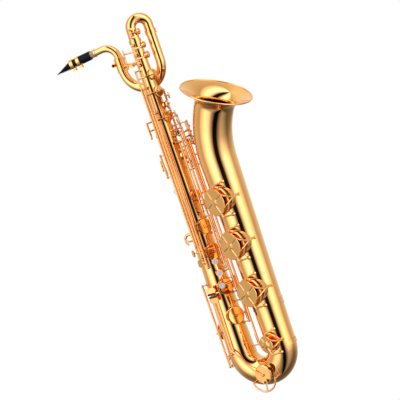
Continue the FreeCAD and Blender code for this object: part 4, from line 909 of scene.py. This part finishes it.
def add_studio():
    """World light: white to the camera, soft banded studio light to everything else."""
    world = bpy.data.worlds.new("studio")
    bpy.context.scene.world = world
    world.use_nodes = True
    tree = world.node_tree
    tree.nodes.clear()
    link = tree.links.new

    def maths(operation, *values):
        """Result of a math node on numbers or sockets."""
        made = tree.nodes.new("ShaderNodeMath")
        made.operation = operation
        for socket, value in zip(made.inputs, values):
            if isinstance(value, (int, float)):
                socket.default_value = value
            else:
                link(value, socket)
        return made.outputs[0]

    direction = tree.nodes.new("ShaderNodeTexCoord").outputs["Generated"]
    parts = tree.nodes.new("ShaderNodeSeparateXYZ")
    link(direction, parts.inputs[0])
    azimuth = math.radians(CAMERA_AZIMUTH)
    ahead = maths("SUBTRACT", maths("MULTIPLY", parts.outputs["X"], math.sin(azimuth)),
                  maths("MULTIPLY", parts.outputs["Y"], math.cos(azimuth)))
    aside = maths("ADD", maths("MULTIPLY", parts.outputs["X"], math.cos(azimuth)),
                  maths("MULTIPLY", parts.outputs["Y"], math.sin(azimuth)))
    angle = maths("ARCTAN2", aside, ahead)
    place = maths("ADD", maths("DIVIDE", angle, 2 * math.pi), 0.5)
    bands = ramp(tree, place, [((turn + 180) / 360, light_colour(level)) for turn, level in STUDIO])
    height = maths("ADD", maths("MULTIPLY", parts.outputs["Z"], 0.5), 0.5)
    level = ramp(tree, height, [(rise, (share,) * 3) for rise, share in STUDIO_RISE])
    blend = tree.nodes.new("ShaderNodeMix")
    blend.data_type = "RGBA"
    blend.blend_type = "MULTIPLY"
    blend.inputs["Factor"].default_value = 1.0
    link(bands, blend.inputs[6])
    link(level, blend.inputs[7])
    glow = tree.nodes.new("ShaderNodeBackground")
    glow.inputs["Strength"].default_value = STUDIO_PEAK
    link(blend.outputs[2], glow.inputs["Color"])
    white = tree.nodes.new("ShaderNodeBackground")
    seen = tree.nodes.new("ShaderNodeLightPath").outputs["Is Camera Ray"]
    choice = tree.nodes.new("ShaderNodeMixShader")
    link(seen, choice.inputs[0])
    link(glow.outputs[0], choice.inputs[1])
    link(white.outputs[0], choice.inputs[2])
    white.inputs["Color"].default_value = (1, 1, 1, 1)
    out = tree.nodes.new("ShaderNodeOutputWorld")
    link(choice.outputs[0], out.inputs[0])


FLOOR_DROP, FLOOR_HALF = 0.03, 12.0


def add_floor():
    """Plain white floor just under the object: seen by the camera, and clear to every other ray."""
    z = CAD_BOX[0].z - FLOOR_DROP
    corners = [(x * FLOOR_HALF, y * FLOOR_HALF, z) for x, y in ((-1, -1), (1, -1), (1, 1), (-1, 1))]
    data = bpy.data.meshes.new("floor")
    data.from_pydata(corners, [], [(0, 1, 2, 3)])
    floor = bpy.data.objects.new("floor", data)
    bpy.context.scene.collection.objects.link(floor)
    paint = bpy.data.materials.new("pale_floor")
    paint.use_nodes = True
    tree = paint.node_tree
    tree.nodes.clear()
    glow = tree.nodes.new("ShaderNodeEmission")
    clear = tree.nodes.new("ShaderNodeBsdfTransparent")
    seen = tree.nodes.new("ShaderNodeLightPath").outputs["Is Camera Ray"]
    choice = tree.nodes.new("ShaderNodeMixShader")
    tree.links.new(seen, choice.inputs[0])
    tree.links.new(clear.outputs[0], choice.inputs[1])
    tree.links.new(glow.outputs[0], choice.inputs[2])
    out = tree.nodes.new("ShaderNodeOutputMaterial")
    tree.links.new(choice.outputs[0], out.inputs[0])
    data.materials.append(paint)


add_camera()
add_studio()
add_floor()
bpy.context.scene.view_settings.view_transform = "Standard"
